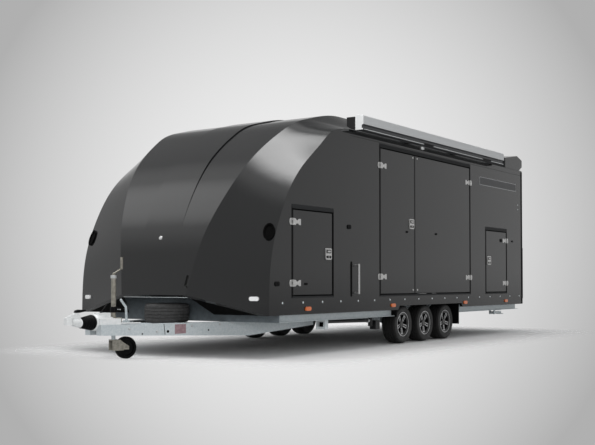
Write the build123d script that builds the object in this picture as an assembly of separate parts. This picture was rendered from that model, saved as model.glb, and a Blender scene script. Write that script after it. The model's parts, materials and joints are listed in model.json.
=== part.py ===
from build123d import *
from math import atan2, cos, degrees, hypot, pi, radians, sin, tan
import os

# Enclosed tri-axle cargo trailer, in millimetres.
# Built with X forward from the middle axle, Y to the left of the centreline and
# Z up from the ground. It is moved to the middle of its own footprint on export.

# body shell
body_width = 2550
half_width = body_width / 2
wall_t = 40
shell_t = 30
sill_z = 418            # lower edge of the side walls
arch_z = 466            # top of the low arches over the wheels
wall_height = 2007
seam_z = sill_z + wall_height   # top of the side walls, where the roof mouldings start
roof_rise = 215
roof_z = seam_z + roof_rise
roof_half = 921         # half width of the flat middle of the roof
body_rear_x = -3004     # rear edge of the side walls
roof_front_x = 1650     # where the roof stops climbing
wall_crest_x = 1900     # front end of the side walls' straight top edge
crest_x = 2255          # where the nose passes into the roof
crest_z = roof_z - 95
nose_corner_x = 3531    # lower front corner of the side walls
nose_front_x = 3780     # lower edge of the nose's middle panel
nose_bottom_z = 616
nose_bottom_half = 435
nose_steps = 16         # stations along the nose's creases
seat_gap = 0.7          # bonded joint between a wall and the mouldings
band_half = 250         # half width of the raised band along the nose and the roof
band_t = 12
band_foot = 0.27        # share of the nose's crease below the band's foot

# floor and underbody
deck_top_z = 550
deck_t = 30
bulkhead_x = 3300
bulkhead_t = 4
lip_x = 3655            # flange along the front of the nose floor
nose_floor_t = 12

# rear portal and ramp
portal_len = 56
portal_side = 125
portal_sill_z = 560
portal_head_z = seam_z - 135
ramp_t = 45
ramp_gap = 8
ramp_hinge_r = 12

# running gear
axle_pitch = 586
axle_count = 3
tyre_r = 233
tyre_w = 195
tyre_outer_y = half_width - 95
tyre_sides = 32         # flats round the tread
rim_r = 149             # over the rim flange
rim_seat_r = 127
rim_half = 78           # half width between the rim flanges
bead_gap = 0.3
spoke_pairs = 5
spoke_w = 13
spoke_offset = 12       # of each spoke of a pair, from the line between them
spoke_splay = 5         # degrees that each spoke of a pair leans outwards
hub_r = 42
stub_r = 20
run_gap = 0.06          # radial running clearance of a bearing
axle_tube_r = 42
axle_tube_dx = 110      # the axle tube lies ahead of its wheel centres
axle_tube_z = 300
arm_t = 25
stub_reach = 30         # past the middle of the tyre
drum_r = 105

# chassis
rail_y = half_width - 395
rail_w = 60
rail_t = 5
outer_sill_y = half_width - 80
outer_sill_w = 50
sill_gap = 900          # the outer sills stop this far from the middle axle
cross_count = 10        # bays between the cross-members
cross_rise = 30         # cross-members start this far above the rails' lower faces
cross_t = 6
drawbar_front_x = 4606
drawbar_front_y = 106
drawbar_rear_x = 2250
drawbar_rear_y = rail_y + 69
drawbar_slope = (drawbar_rear_y - drawbar_front_y) / (drawbar_front_x - drawbar_rear_x)
drawbar_top_z = 342
drawbar_w = 60
drawbar_front_depth = 100
drawbar_deep_x = 3030
drawbar_deep = 150
drawbar_rear_depth = 60
plate_front_x = 4305    # plate across the drawbar rails, under the jockey clamp
plate_rear_x = 4100

# coupling and overrun device
ball_z = 378
ball_x = 4915
ball_r = 25.2
socket_r = 42
shank_len = 137
fin_top_z = ball_z + 82
shaft_z = ball_z - 14   # the overrun shaft lies a little below the ball
housing_x = (4366, 4622)
housing_r = 80
flange_t = 10
cheek_rise = 58         # of the housing's cheeks above the drawbar rails
lever_x = plate_rear_x + 57
lever_r = 12

# jockey wheel
mast_x = 4337
mast_r = 24
leg_r = 20
mast_bottom_z = 240
mast_top_z = 815
castor_trail = 130
castor_turn = 20        # degrees that the castor stands turned, off straight back
jockey_r = 108
jockey_w = 55

# side doors: front edge, rear edge, bottom, top, hinged at the front or the rear
door_gap = 7
door_top_z = seam_z - 122
hatch_front = (3125, 2370, 603, 1486, "front")
door_front = (1337, 476, 598, door_top_z, "front")
door_rear = (476, -1145, 598, door_top_z, "rear")
hatch_rear = (-1683, -2426, 596, 1480, "rear")
hinge_pin_r = 5
hinge_r = 10
hinge_h = 70
hinge_plate_t = 5
leaf_chamfer = 8
lock_size = 120

# spare wheel, lying across the drawbar
spare_x = 3562
tray_t = 8
tray_top_z = drawbar_top_z - 8
spare_z = tray_top_z + tyre_w / 2

# fittings on the nose
front_lamp_y = half_width - 145
front_lamp_z = 583
lamp_size = (100, 42)
lamp_t = 14
vent_y = half_width - 65
vent_z = 1237
vent_size = (120, 180)
skirt_t = 6

# side fittings
grab_x = 1908
grab_z = (615, 945)
marker_x = (2850, 1038, -979, -2396)
marker_z = 474
steady_x = -2330
steady_y = outer_sill_y - 105
steady_z = 298
steady_len = 290
steady_pin_r = 8

# roof awning cassette
awning_x = (-2005, 1965)
awning_y = (half_width + 40, half_width + 145)
awning_z = (seam_z - 10, seam_z + 155)
bracket_reach = 68      # of the brackets' feet up the roof's sloping side

# rear spoiler
spoiler_rise = 25       # of its top, above the roof
spoiler_top_z = roof_z + spoiler_rise
spoiler_front_x = -2405
ear_drop = 23           # the spoiler's ends hang this far below its middle


def along_y(face, y0, y1):
    """Extrude a face drawn at y = 0 in the XZ plane from y0 to y1."""
    return extrude(face.moved(Location((0, y0, 0))), amount=y1 - y0, dir=(0, 1, 0))


def xz_plate(points, y0, y1):
    """A plate with a straight-sided XZ outline."""
    return along_y(Face(Wire.make_polygon([(x, 0, z) for x, z in points])), y0, y1)


def xy_plate(points, z0, z1):
    """A plate with a straight-sided XY outline."""
    outline = Face(Wire.make_polygon([(x, y, z0) for x, y in points]))
    return extrude(outline, amount=z1 - z0, dir=(0, 0, 1))


def yz_bar(points, x0, x1):
    """A bar along X with a straight-sided YZ section."""
    outline = Face(Wire.make_polygon([(x0, y, z) for y, z in points]))
    return extrude(outline, amount=x1 - x0, dir=(1, 0, 0))


def block(x0, x1, y0, y1, z0, z1):
    """A box between two corners."""
    centre = ((x0 + x1) / 2, (y0 + y1) / 2, (z0 + z1) / 2)
    return Location(centre) * Box(abs(x1 - x0), abs(y1 - y0), abs(z1 - z0))


def rod(start, end, radius):
    """A round bar between two points."""
    axis = Vector(end) - Vector(start)
    return Plane(origin=start, z_dir=axis) * Cylinder(
        radius, axis.length, align=(Align.CENTER, Align.CENTER, Align.MIN))


def other_side(shape):
    """The same piece on the right of the trailer."""
    return mirror(shape, about=Plane.XZ)


def both_sides(shape):
    """A piece on the left and its mirror image on the right."""
    return Compound([*shape.solids(), *other_side(shape).solids()])


def revolve_y(profile, x, y, z):
    """Turn (radius, offset) points about an axle along Y at x, y, z."""
    points = [(x + r, y + dy, z) for r, dy in profile]
    face = Face(Wire.make_polygon(points))
    return revolve(face, axis=Axis((x, y, z), (0, 1, 0)))


# ---- the moulded nose ----

def nose_stations():
    """Matching points of the outer and the inner crease, from the sill to the crest."""
    length = nose_corner_x - wall_crest_x
    outer = [(1.0, 0.0), (0.9975, 0.1156), (0.966, 0.315), (0.8676, 0.514),
             (0.695, 0.7135), (0.429, 0.886), (0.0, 1.0)]
    inner = [(1.0, 0.0, 0.0), (0.977, 0.106, 0.082), (0.927, 0.292, 0.253),
             (0.803, 0.510, 0.508), (0.579, 0.743, 0.767), (0.320, 0.899, 0.926),
             (0.045, 0.991, 1.0)]
    inner_len = nose_front_x - crest_x
    inner_rise = crest_z - nose_bottom_z
    spread = roof_half - nose_bottom_half
    outer_points = [(wall_crest_x + a * length, half_width, sill_z + b * wall_height)
                    for a, b in outer]
    inner_points = [(crest_x + a * inner_len, nose_bottom_half + c * spread,
                     nose_bottom_z + b * inner_rise) for a, b, c in inner]
    return outer_points, inner_points


def wall_side_points(outer_edge, inner_edge):
    """Points along the inner faces' corners, for a moulding of even thickness."""
    outer_in, inner_in = [], []
    for k in range(nose_steps + 1):
        u = k / nose_steps
        o, i = outer_edge.position_at(u), inner_edge.position_at(u)
        along_o, along_i = outer_edge.tangent_at(u), inner_edge.tangent_at(u)
        ruling = i - o
        across = Vector(ruling.X, 0, ruling.Z).normalized()
        at_wall = along_o.cross(ruling).normalized()
        at_crease = along_i.cross(ruling).normalized()
        middle = Vector(along_i.Z, 0, -along_i.X).normalized()
        inset = shell_t / across.dot(middle)
        drop = (shell_t - inset * at_crease.dot(across)) / at_crease.Y
        outer_in.append(o - Vector(0, shell_t / at_wall.Y, 0))
        inner_in.append(i - across * inset - Vector(0, drop, 0))
    return outer_in, inner_in


def crease(points, start, end):
    """A smooth edge through the points, leaving and arriving along given directions."""
    return Edge.make_spline([Vector(p) for p in points], tangents=[Vector(start), Vector(end)])


def evenly(edge, start, end):
    """The same crease through evenly spaced points, so that its neighbours match it."""
    return crease([edge.position_at(k / nose_steps) for k in range(nose_steps + 1)], start, end)


def solid_of(faces):
    """The solid that a closed set of faces bounds."""
    solid = Solid(Shell(faces))
    return solid if solid.volume > 0 else Solid(Shell([-face for face in faces]))


def between(edges):
    """A solid whose four long edges are given in order round its section."""
    faces = [Face.make_surface_from_curves(edges[k], edges[(k + 1) % 4]) for k in range(4)]
    for end in (0, 1):
        faces.append(Face(Wire.make_polygon([edge.position_at(end) for edge in edges])))
    return solid_of(faces)


up = (0, 0, 1)
back = (-1, 0, 0)
climb = (-1, 0, 0.25)
nose_lean = (-0.16, 0.19, 1)
outer, inner = nose_stations()
outer_edge = evenly(crease(outer, up, back), up, back)
inner_edge = evenly(crease(inner, nose_lean, climb), nose_lean, climb)
outer_in, inner_in = wall_side_points(outer_edge, inner_edge)
outer_in_edge = crease(outer_in, up, back)
inner_in_edge = crease(inner_in, nose_lean, climb)


def nose_facet():
    return between([outer_edge, inner_edge, inner_in_edge, outer_in_edge])


def raised_band(edge, start=0.0, steps=12, fade=0):
    """The band's stretch over an edge, which rises from nothing over its first steps."""
    over, under = [], []
    for k in range(steps + 1):
        u = start + (1 - start) * k / steps
        at, along = edge.position_at(u), edge.tangent_at(u)
        out = Vector(along.Z, 0, -along.X).normalized()
        height = band_t * min(1, k / fade) if fade else band_t
        over.append(Vector(at.X, 0, at.Z) + out * height)
        under.append(Vector(at.X, 0, at.Z) - out * band_t)
    lines = [Edge.make_spline(over), Edge.make_line(over[-1], under[-1]),
             Edge.make_spline(under), Edge.make_line(under[0], over[0])]
    return along_y(Face(Wire(lines)), -band_half, band_half)


def nose_middle():
    """The middle panel of the nose with its raised band, up to the crest."""
    right = [edge.mirror(Plane.XZ) for edge in (inner_in_edge, inner_edge)]
    panel = between([inner_edge, inner_in_edge, *right])
    return panel + raised_band(inner_edge, band_foot, fade=6)


def roof_section():
    """Left half of the roof moulding's section, as (y, z) points."""
    rise, run = roof_z - seam_z, half_width - roof_half
    edge_y = half_width - shell_t * hypot(rise, run) / rise
    crease_y = edge_y - (rise - shell_t) * run / rise
    return [(half_width, seam_z), (roof_half, roof_z),
            (crease_y, roof_z - shell_t), (edge_y, seam_z)]


def roof_shell():
    """The flat-topped roof with its sloping sides, one moulding from the crest back."""
    front = [Vector(points[-1]) for points in (outer, inner, inner_in, outer_in)]
    rear = [Vector(roof_front_x, y, z) for y, z in roof_section()]
    ends = [Vector(climb), Vector(back)]
    edges = [Edge.make_line(front[0], rear[0]),
             Edge.make_spline([front[1], rear[1]], tangents=ends),
             Edge.make_spline([front[2], rear[2]], tangents=ends),
             Edge.make_line(front[3], rear[3])]
    cant = between(edges)
    right = [edge.mirror(Plane.XZ) for edge in (edges[2], edges[1])]
    top = between([edges[1], edges[2], *right])
    half = roof_section()
    outline = half[:2] + [(-y, z) for y, z in half[1::-1]]
    outline += [(-y, z) for y, z in half[:1:-1]] + half[2:]
    long = yz_bar(outline, body_rear_x, roof_front_x)
    band = block(body_rear_x, roof_front_x, -band_half, band_half, roof_z - band_t,
                 roof_z + band_t)
    climbing_band = raised_band(edges[1]) - nose_middle()
    return long + top + cant + other_side(cant) + band + climbing_band


def nose_floor():
    """The floor under the nose, above the spare wheel, cut to the mouldings' inside."""
    top = nose_bottom_z
    inside_y = half_width - wall_t
    plate = block(bulkhead_x, nose_front_x, -inside_y, inside_y, top - nose_floor_t, top)
    facet = nose_facet()
    plate = plate - nose_middle() - facet - other_side(facet)
    return max(plate.solids(), key=lambda solid: solid.volume)


facet = nose_facet()


def on_facet(y, z, outline, proud):
    """A fitting that stands proud of the left facet, cut to its surface."""
    ray = Axis((wall_crest_x, y, z), (1, 0, 0))
    surface, out = max(facet.find_intersection_points(ray), key=lambda hit: hit[0].X)
    seat = Plane(origin=surface, x_dir=out.cross(Vector(*up)), z_dir=out)
    fitting = extrude(seat * outline, amount=proud, both=True) - facet
    return max(fitting.solids(), key=lambda solid: solid.center().X)


def vents():
    """Oval vents at the sides of the nose, each a raised ring round a louvre plate."""
    width, height = vent_size
    oval = Ellipse(width / 2, height / 2)
    ring = on_facet(vent_y, vent_z, oval - Ellipse(width / 2 - 16, height / 2 - 16), 14)
    plate = on_facet(vent_y, vent_z, oval, 5)
    return both_sides(ring + plate)


def nose_skirts():
    """Sloping plates under the facets, beside the spare wheel."""
    top = Vector(inner[0]) - Vector(shell_t + 4, 0, nose_floor_t)
    low = Vector(nose_corner_x - 17, 584, sill_z + 2)
    outside = Vector(outer[0]) - Vector(shell_t + 4, wall_t, 0)
    plate = Face(Wire.make_polygon([top, low, outside]))
    skirt = extrude(plate, amount=skirt_t, dir=(-1, 0, 0))
    return both_sides(skirt)


# ---- walls, floor and rear portal ----

def wheel_arch():
    """The low arch cut out of a side wall over its wheels."""
    half_top = axle_pitch * (axle_count - 1) / 2 + tyre_r + 50
    half_foot = half_top + 35
    return xz_plate([(half_foot, sill_z - 5), (half_top, arch_z), (-half_top, arch_z),
                     (-half_foot, sill_z - 5)], half_width - wall_t - 1, half_width + 1)


def wall_plate():
    """A whole side wall: its front edge follows the nose's outer crease."""
    front = outer_edge.moved(Location((-seat_gap, 0, -seat_gap)))
    foot, crest = front.position_at(0), front.position_at(1)
    rear = [Vector(body_rear_x, half_width, z) for z in (crest.Z, foot.Z)]
    edges = [front, Edge.make_line(crest, rear[0]), Edge.make_line(*rear),
             Edge.make_line(rear[1], foot)]
    plate = extrude(Face(Wire(edges)), amount=wall_t, dir=(0, -1, 0))
    return plate - wheel_arch()


def doorway(door):
    front_x, rear_x, low_z, high_z, _ = door
    return block(rear_x, front_x, half_width - wall_t - 1, half_width + 1, low_z, high_z)


def left_wall():
    wall = wall_plate() - doorway(hatch_front) - doorway(hatch_rear)
    return wall - doorway((door_front[0], door_rear[1], door_front[2], door_front[3], ""))


def deck():
    rear = body_rear_x
    return block(rear, bulkhead_x, wall_t - half_width, half_width - wall_t,
                 deck_top_z - deck_t, deck_top_z)


def rear_portal():
    """The frame round the ramp door, its top shaped as the roof."""
    outline = [(half_width, sill_z), (half_width, seam_z), (roof_half, roof_z),
               (-roof_half, roof_z), (-half_width, seam_z), (-half_width, sill_z)]
    frame = yz_bar(outline, body_rear_x - portal_len, body_rear_x)
    clear = half_width - portal_side
    return frame - block(body_rear_x - portal_len - 1, body_rear_x + 1, -clear, clear,
                         portal_sill_z, portal_head_z)


ramp_axis_x = body_rear_x - portal_len - ramp_hinge_r - 2
ramp_axis_z = portal_sill_z - ramp_hinge_r - 6


def ramp_door():
    """The ramp panel with its hinge eyes along the lower edge."""
    clear = half_width - portal_side - ramp_gap
    outer_x = body_rear_x - portal_len
    panel = block(outer_x, outer_x + ramp_t, -clear, clear,
                  portal_sill_z + ramp_gap, portal_head_z - ramp_gap)
    for y in ramp_hinges():
        eye = rod((ramp_axis_x, y - 40, ramp_axis_z), (ramp_axis_x, y + 40, ramp_axis_z),
                  ramp_hinge_r)
        strap = xz_plate([(ramp_axis_x - ramp_hinge_r, ramp_axis_z),
                          (ramp_axis_x + ramp_hinge_r, ramp_axis_z),
                          (outer_x, portal_sill_z + ramp_gap),
                          (outer_x, portal_sill_z + 150),
                          (outer_x - 6, portal_sill_z + 150),
                          (ramp_axis_x - ramp_hinge_r, ramp_axis_z + 20)], y - 40, y + 40)
        panel += eye + strap
        panel -= rod((ramp_axis_x, y - 41, ramp_axis_z), (ramp_axis_x, y + 41, ramp_axis_z),
                     hinge_pin_r + run_gap)
    return panel


def ramp_hinges():
    return [-900, -300, 300, 900]


def ramp_pins():
    """Hinge brackets under the portal sill, each with its pin."""
    pins = []
    for y in ramp_hinges():
        pin = rod((ramp_axis_x, y - 60, ramp_axis_z), (ramp_axis_x, y + 60, ramp_axis_z),
                  hinge_pin_r)
        for y0 in (y - 60, y + 45):
            pin += xz_plate([(ramp_axis_x - 9, ramp_axis_z - 9), (ramp_axis_x - 9, ramp_axis_z + 9),
                             (body_rear_x - portal_len, ramp_axis_z + 9),
                             (body_rear_x - portal_len, ramp_axis_z - 40)], y0, y0 + 15)
        pins.append(pin)
    return Compound(pins)


# ---- side doors ----

hinge_axis_y = half_width + hinge_r + 1


def hinge_heights(door):
    _, _, low_z, high_z, _ = door
    inset = 0.15 * (high_z - low_z) if high_z - low_z < 1200 else 210
    return [low_z + inset, high_z - inset]


def hinge_line(door):
    front_x, rear_x, _, _, side = door
    return (front_x, -1) if side == "front" else (rear_x, 1)


def hinge_half(x, side, z, outline):
    """A hinge leaf on the wall's face, with a symmetrical outline of (reach, half height)."""
    upper = [(x + side * reach, z + half) for reach, half in outline]
    lower = [(x + side * reach, z - half) for reach, half in reversed(outline)]
    return xz_plate(upper + lower, half_width, half_width + hinge_plate_t)


def door_leaf(door, lock_z=None):
    """One door leaf with the moving halves of its hinges and its lock plate."""
    front_x, rear_x, low_z, high_z, side = door
    leaf = block(rear_x + door_gap, front_x - door_gap, half_width - wall_t, half_width,
                 low_z + door_gap, high_z - door_gap)
    leaf = chamfer(leaf.faces().sort_by(Axis.Y)[-1].edges(), leaf_chamfer)
    x, inward = hinge_line(door)
    for z in hinge_heights(door):
        middle = (z - hinge_h / 6, z + hinge_h / 6)
        plate = hinge_half(x, inward, z, [(14, 33), (48, 33), (66, 17), (92, 17), (110, 31), (142, 31)])
        knuckle = rod((x, hinge_axis_y, middle[0]), (x, hinge_axis_y, middle[1]), hinge_r)
        web = block(x, x + inward * 16, half_width + 1, half_width + hinge_plate_t, *middle)
        leaf += plate + knuckle + web
        leaf -= rod((x, hinge_axis_y, middle[0] - 1), (x, hinge_axis_y, middle[1] + 1),
                    hinge_pin_r + run_gap)
    if lock_z is not None:
        lock_x = (rear_x if side == "front" else front_x) - inward * 95
        plate = Plane.XZ.offset(-half_width) * RectangleRounded(lock_size, lock_size, 18)
        leaf += extrude(plate, amount=-12).moved(Location((lock_x, 0, lock_z)))
    return leaf


def fixed_hinges():
    """The halves of the door hinges that are bolted to the wall, with their pins."""
    halves = []
    for door in (hatch_front, door_front, door_rear, hatch_rear):
        x, inward = hinge_line(door)
        for z in hinge_heights(door):
            low, high = z - hinge_h / 2, z + hinge_h / 2
            half = hinge_half(x, -inward, z, [(14, 34), (42, 34), (54, 26), (60, 12)])
            half -= hinge_half(x, -inward, z, [(28, 17), (38, 17)])
            half += rod((x, hinge_axis_y, low), (x, hinge_axis_y, high), hinge_pin_r)
            for z0, z1 in ((low, z - hinge_h / 6 - 1), (z + hinge_h / 6 + 1, high)):
                half += rod((x, hinge_axis_y, z0), (x, hinge_axis_y, z1), hinge_r)
                half += block(x, x - inward * 16, half_width + 1, half_width + hinge_plate_t,
                              z0, z1)
            halves.append(half)
    return Compound([solid for half in halves for solid in half.solids()])


# ---- chassis ----

def c_rail(x0, x1, y, z0, z1, width):
    """A channel along X, open towards the outside."""
    side = 1 if y > 0 else -1
    inner_y, outer_y = y - side * width / 2, y + side * width / 2
    rail = block(x0, x1, inner_y, outer_y, z0, z1)
    return rail - block(x0 - 1, x1 + 1, inner_y + side * rail_t, outer_y + side,
                        z0 + rail_t, z1 - rail_t)


def chassis_rails():
    """Two long channel rails, and sills under the walls ahead of and behind the wheels."""
    low, top = drawbar_top_z, deck_top_z - deck_t
    rails = []
    for side in (1, -1):
        rails.append(c_rail(body_rear_x, bulkhead_x, side * rail_y, low, top, rail_w))
        for x0, x1 in ((sill_gap, bulkhead_x), (body_rear_x, -sill_gap)):
            rails.append(c_rail(x0, x1, side * outer_sill_y, low, top, outer_sill_w))
    return Compound(rails)


def cross_members():
    """Plates between the long rails, and outriggers from them to the sills."""
    low, top = drawbar_top_z + cross_rise, deck_top_z - deck_t
    web = rail_y - rail_w / 2
    step = (bulkhead_x - body_rear_x - cross_t) / cross_count
    pieces = []
    for k in range(cross_count + 1):
        x = body_rear_x + k * step
        pieces.append(block(x, x + cross_t, -web, web, low, top))
        if abs(x) > sill_gap + cross_t:
            for side in (1, -1):
                pieces.append(block(x, x + cross_t, side * (web + rail_w),
                                    side * (outer_sill_y - outer_sill_w / 2), low, top))
    return Compound(pieces)


def front_bulkhead():
    """Folded galvanised plate that closes the front of the underbody, and the flange
    under the nose that edges the space for the spare wheel."""
    x, reach = bulkhead_x, half_width - wall_t
    top = nose_bottom_z - nose_floor_t
    plate = block(x, x + bulkhead_t, -reach, reach, drawbar_top_z, top)
    plate += block(x, x + 40, -reach, reach, top - bulkhead_t, top)
    flange = block(lip_x, lip_x + 40, -nose_bottom_half, nose_bottom_half, top - 9, top)
    return Compound([plate, flange])


def drawbar_face_y(x):
    """Outer face of the left drawbar rail at a station."""
    return drawbar_front_y + drawbar_slope * (drawbar_front_x - x)


def drawbar_rail():
    """One tapering rail of the A-frame, left side."""
    low = [(drawbar_front_x, drawbar_front_depth), (drawbar_deep_x, drawbar_deep),
           (drawbar_rear_x, drawbar_rear_depth)]
    outline = [(drawbar_rear_x, drawbar_top_z), (drawbar_front_x, drawbar_top_z)]
    outline += [(x, drawbar_top_z - depth) for x, depth in low]
    slant = hypot(1, drawbar_slope)
    faces = [Wire.make_polygon([(x, drawbar_face_y(x) - offset * slant, z) for x, z in outline])
             for offset in (0, drawbar_w)]
    return Solid.make_loft(faces, True)


def drawbar():
    """Both rails of the A-frame, hollowed for the overrun housing, and their plate."""
    rail = drawbar_rail()
    rail -= rod((housing_x[0] - 1, 0, shaft_z), (housing_x[1], 0, shaft_z), housing_r + seat_gap)
    frame = rail + other_side(rail)
    plate = [(plate_front_x, drawbar_face_y(plate_front_x) - 20),
             (plate_rear_x, drawbar_face_y(plate_rear_x) - 20)]
    plate += [(x, -y) for x, y in reversed(plate)]
    frame += xy_plate(plate, drawbar_top_z, drawbar_top_z + 6)
    return frame


# ---- running gear ----

def axle_stations():
    middle = (axle_count - 1) / 2
    return [(middle - k) * axle_pitch for k in range(axle_count)]


hub_y = tyre_outer_y - tyre_w / 2


def axle_tubes():
    """Tubes of the rubber torsion axles, each with its two mounting brackets."""
    out = []
    for x in axle_stations():
        tube_x, end = x + axle_tube_dx, rail_y + 25
        tube = rod((tube_x, -end, axle_tube_z), (tube_x, end, axle_tube_z), axle_tube_r)
        for side in (1, -1):
            tube += block(tube_x - 60, tube_x + 60, side * (rail_y - rail_w / 2),
                          side * (rail_y + 20), axle_tube_z, drawbar_top_z)
        out.append(tube)
    return Compound(out)


def swing_arms():
    """Trailing arms at the ends of the axle tubes, each with its stub axle."""
    arms = []
    for x in axle_stations():
        tube_x, inside = x + axle_tube_dx, rail_y + 25
        arm = xz_plate([(tube_x + 30, axle_tube_z + 30), (tube_x + 30, axle_tube_z - 30),
                        (x - 25, tyre_r - 25), (x - 25, tyre_r + 25)], inside, inside + arm_t)
        arm += rod((x, inside + 1, tyre_r), (x, hub_y + stub_reach, tyre_r), stub_r)
        arms.append(arm)
    return both_sides(Compound(arms))


def tyre_section():
    """Half of a tyre's outside, from bead to tread, as (radius, offset) points."""
    h = tyre_w / 2
    return [(rim_r + 0.5, rim_half), (rim_r + 9, h * 0.93), (rim_r + 45, h),
            (tyre_r - 11, h * 0.9), (tyre_r, h * 0.62)]


def tyre():
    """A tyre about the Z axis, with flats round it so that it stands on one."""
    half = [(rim_seat_r + bead_gap, rim_half), *tyre_section()]
    section = [(r, -offset) for r, offset in half] + [(r, offset) for r, offset in reversed(half)]
    step = 2 * pi / tyre_sides

    def corner(k, radius, offset):
        reach = radius / cos(step / 2)
        return (reach * cos((k + 0.5) * step), reach * sin((k + 0.5) * step), offset)

    faces = []
    for start, end in zip(section, section[1:] + section[:1]):
        for k in range(tyre_sides):
            faces.append(Face(Wire.make_polygon([corner(k, *start), corner(k + 1, *start),
                                                 corner(k + 1, *end), corner(k, *end)])))
    return solid_of(faces)


def wheel():
    """A rim with its drum about the Z axis, its face up: five pairs of splayed spokes."""
    well = rim_seat_r - 8
    profile = [(stub_r + run_gap, -45), (drum_r, -45), (drum_r, 5), (hub_r + 4, 5),
               (hub_r + 4, 42), (well, 50), (well, -rim_half), (rim_seat_r, -rim_half),
               (rim_seat_r, rim_half), (rim_r, rim_half), (rim_r - 3, rim_half + 7),
               (well, rim_half - 4), (well, 70), (hub_r, 62), (hub_r - 8, 70), (0, 70),
               (0, stub_reach + 2), (stub_r + run_gap, stub_reach + 2)]
    face = Face(Wire.make_polygon([(r, 0, z) for r, z in profile]))
    rim = revolve(face, axis=Axis.Z)
    openings = Pos(0, 0, 30) * (Cylinder(well - 4, 60, align=(Align.CENTER, Align.CENTER, Align.MIN))
                                - Cylinder(hub_r, 60, align=(Align.CENTER, Align.CENTER, Align.MIN)))
    for k in range(spoke_pairs):
        for lean in (1, -1):
            spoke = Pos(well / 2, lean * spoke_offset, 60) * Rot(0, 0, lean * spoke_splay) \
                * Box(well * 1.2, spoke_w, 80)
            openings -= Rot(0, 0, k * 360 / spoke_pairs + 90) * spoke
    return rim - openings


road_tyre = Rot(-90, 0, 0) * tyre()
road_wheel = Rot(-90, 0, 0) * wheel()


def road_rim(x, side):
    """A wheel in its place, with its face outwards."""
    outwards = road_wheel if side > 0 else other_side(road_wheel)
    return outwards.moved(Location((x, side * hub_y, tyre_r)))


# ---- coupling, overrun device, jockey wheel ----

def about_shaft(profile):
    """Turn (x, radius) points about the overrun shaft."""
    face = Face(Wire.make_polygon([(x, r, 0) for x, r in profile]))
    return revolve(face, axis=Axis.X).moved(Location((0, 0, shaft_z)))


def overrun_housing():
    """Cast overrun housing: a barrel with a saddle, cheeks that stand on the drawbar's
    rails and flanges onto its plate."""
    rear, front = housing_x
    body = about_shaft([(rear, 0), (rear, housing_r - 34), (front - 85, housing_r),
                        (front - 25, housing_r), (front, housing_r - 8), (front, 0)])
    body += block(rear + 55, front - 60, -46, 46, shaft_z, ball_z + 74)
    cheek = [(front - 16, drawbar_face_y(front) - 8), (rear + 40, drawbar_face_y(rear + 40) - 8)]
    cheek += [(x, -y) for x, y in reversed(cheek)]
    body += xy_plate(cheek, drawbar_top_z, drawbar_top_z + cheek_rise)
    seat_z, lug_x = drawbar_top_z + 6, rear - 150
    flange = [(front - 60, 58), (rear, drawbar_face_y(rear) - 6), (lug_x, drawbar_face_y(lug_x)),
              (lug_x, drawbar_face_y(lug_x) - drawbar_w), (rear, 120), (rear + 20, 40)]
    plate = xy_plate(flange, seat_z, seat_z + flange_t)
    return body + plate + other_side(plate)


def handbrake_lever():
    """Bent tube lever that pivots in a bracket on the drawbar's plate."""
    seat_z = drawbar_top_z + 6
    foot, knee, tip = (lever_x, 0, seat_z + 14), (lever_x + 9, 0, 501), (lever_x + 79, 0, 571)
    lever = rod(foot, knee, lever_r) + rod(knee, tip, lever_r) + Pos(*knee) * Sphere(lever_r)
    lever += Pos(*tip) * Sphere(lever_r)
    return lever + block(lever_x - 27, lever_x + 28, -20, 20, seat_z, seat_z + 24)


def coupling_head():
    """Cast coupling head: a ball cup, a fin up to its handle and a tapered shank."""
    rear = ball_x - shank_len
    head = rod((ball_x, 0, ball_z - 28), (ball_x, 0, ball_z + 36), socket_r)
    head += Plane(origin=(rear, 0, shaft_z), z_dir=(1, 0, 0.08)) * Cone(
        44, 30, shank_len, align=(Align.CENTER, Align.CENTER, Align.MIN))
    head -= block(ball_x - shank_len - 20, rear, -60, 60, shaft_z - 60, shaft_z + 60)
    head += xz_plate([(ball_x + socket_r, ball_z - 12), (ball_x + socket_r, ball_z + 36),
                      (ball_x - 72, fin_top_z), (ball_x - 105, fin_top_z),
                      (ball_x - 135, ball_z + 30), (ball_x - 20, ball_z - 12)], -20, 20)
    head -= rod((ball_x, 0, ball_z - 80), (ball_x, 0, ball_z + 4), ball_r)
    return head - block(ball_x - 60, ball_x + 60, -60, 60, ball_z - 90, ball_z - 28)


def coupling_handle():
    """Grip over the coupling head that opens its ball latch."""
    top = fin_top_z
    grip = xz_plate([(ball_x - 72, top), (ball_x - 86, top + 22), (ball_x - 120, top + 30),
                     (ball_x - 195, top + 26), (ball_x - 205, top + 12),
                     (ball_x - 116, top)], -17, 17)
    return fillet(grip.edges().filter_by(Axis.Y), 4)


def bellows():
    """Ribbed rubber bellows over the overrun shaft, wider at the housing."""
    start, end, ribs = housing_x[1], ball_x - shank_len, 6
    pitch = (end - start) / ribs
    wide, narrow, depth = housing_r - 12, 40, 9

    def radius(x):
        return wide + (narrow - wide) * (x - start) / (end - start)

    profile = [(start, 18)]
    for k in range(ribs):
        crest, valley = start + (k + 0.6) * pitch, start + k * pitch
        profile += [(valley, radius(valley)), (crest, radius(crest) + depth)]
    profile += [(end, narrow), (end, 18)]
    return about_shaft(profile)


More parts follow.
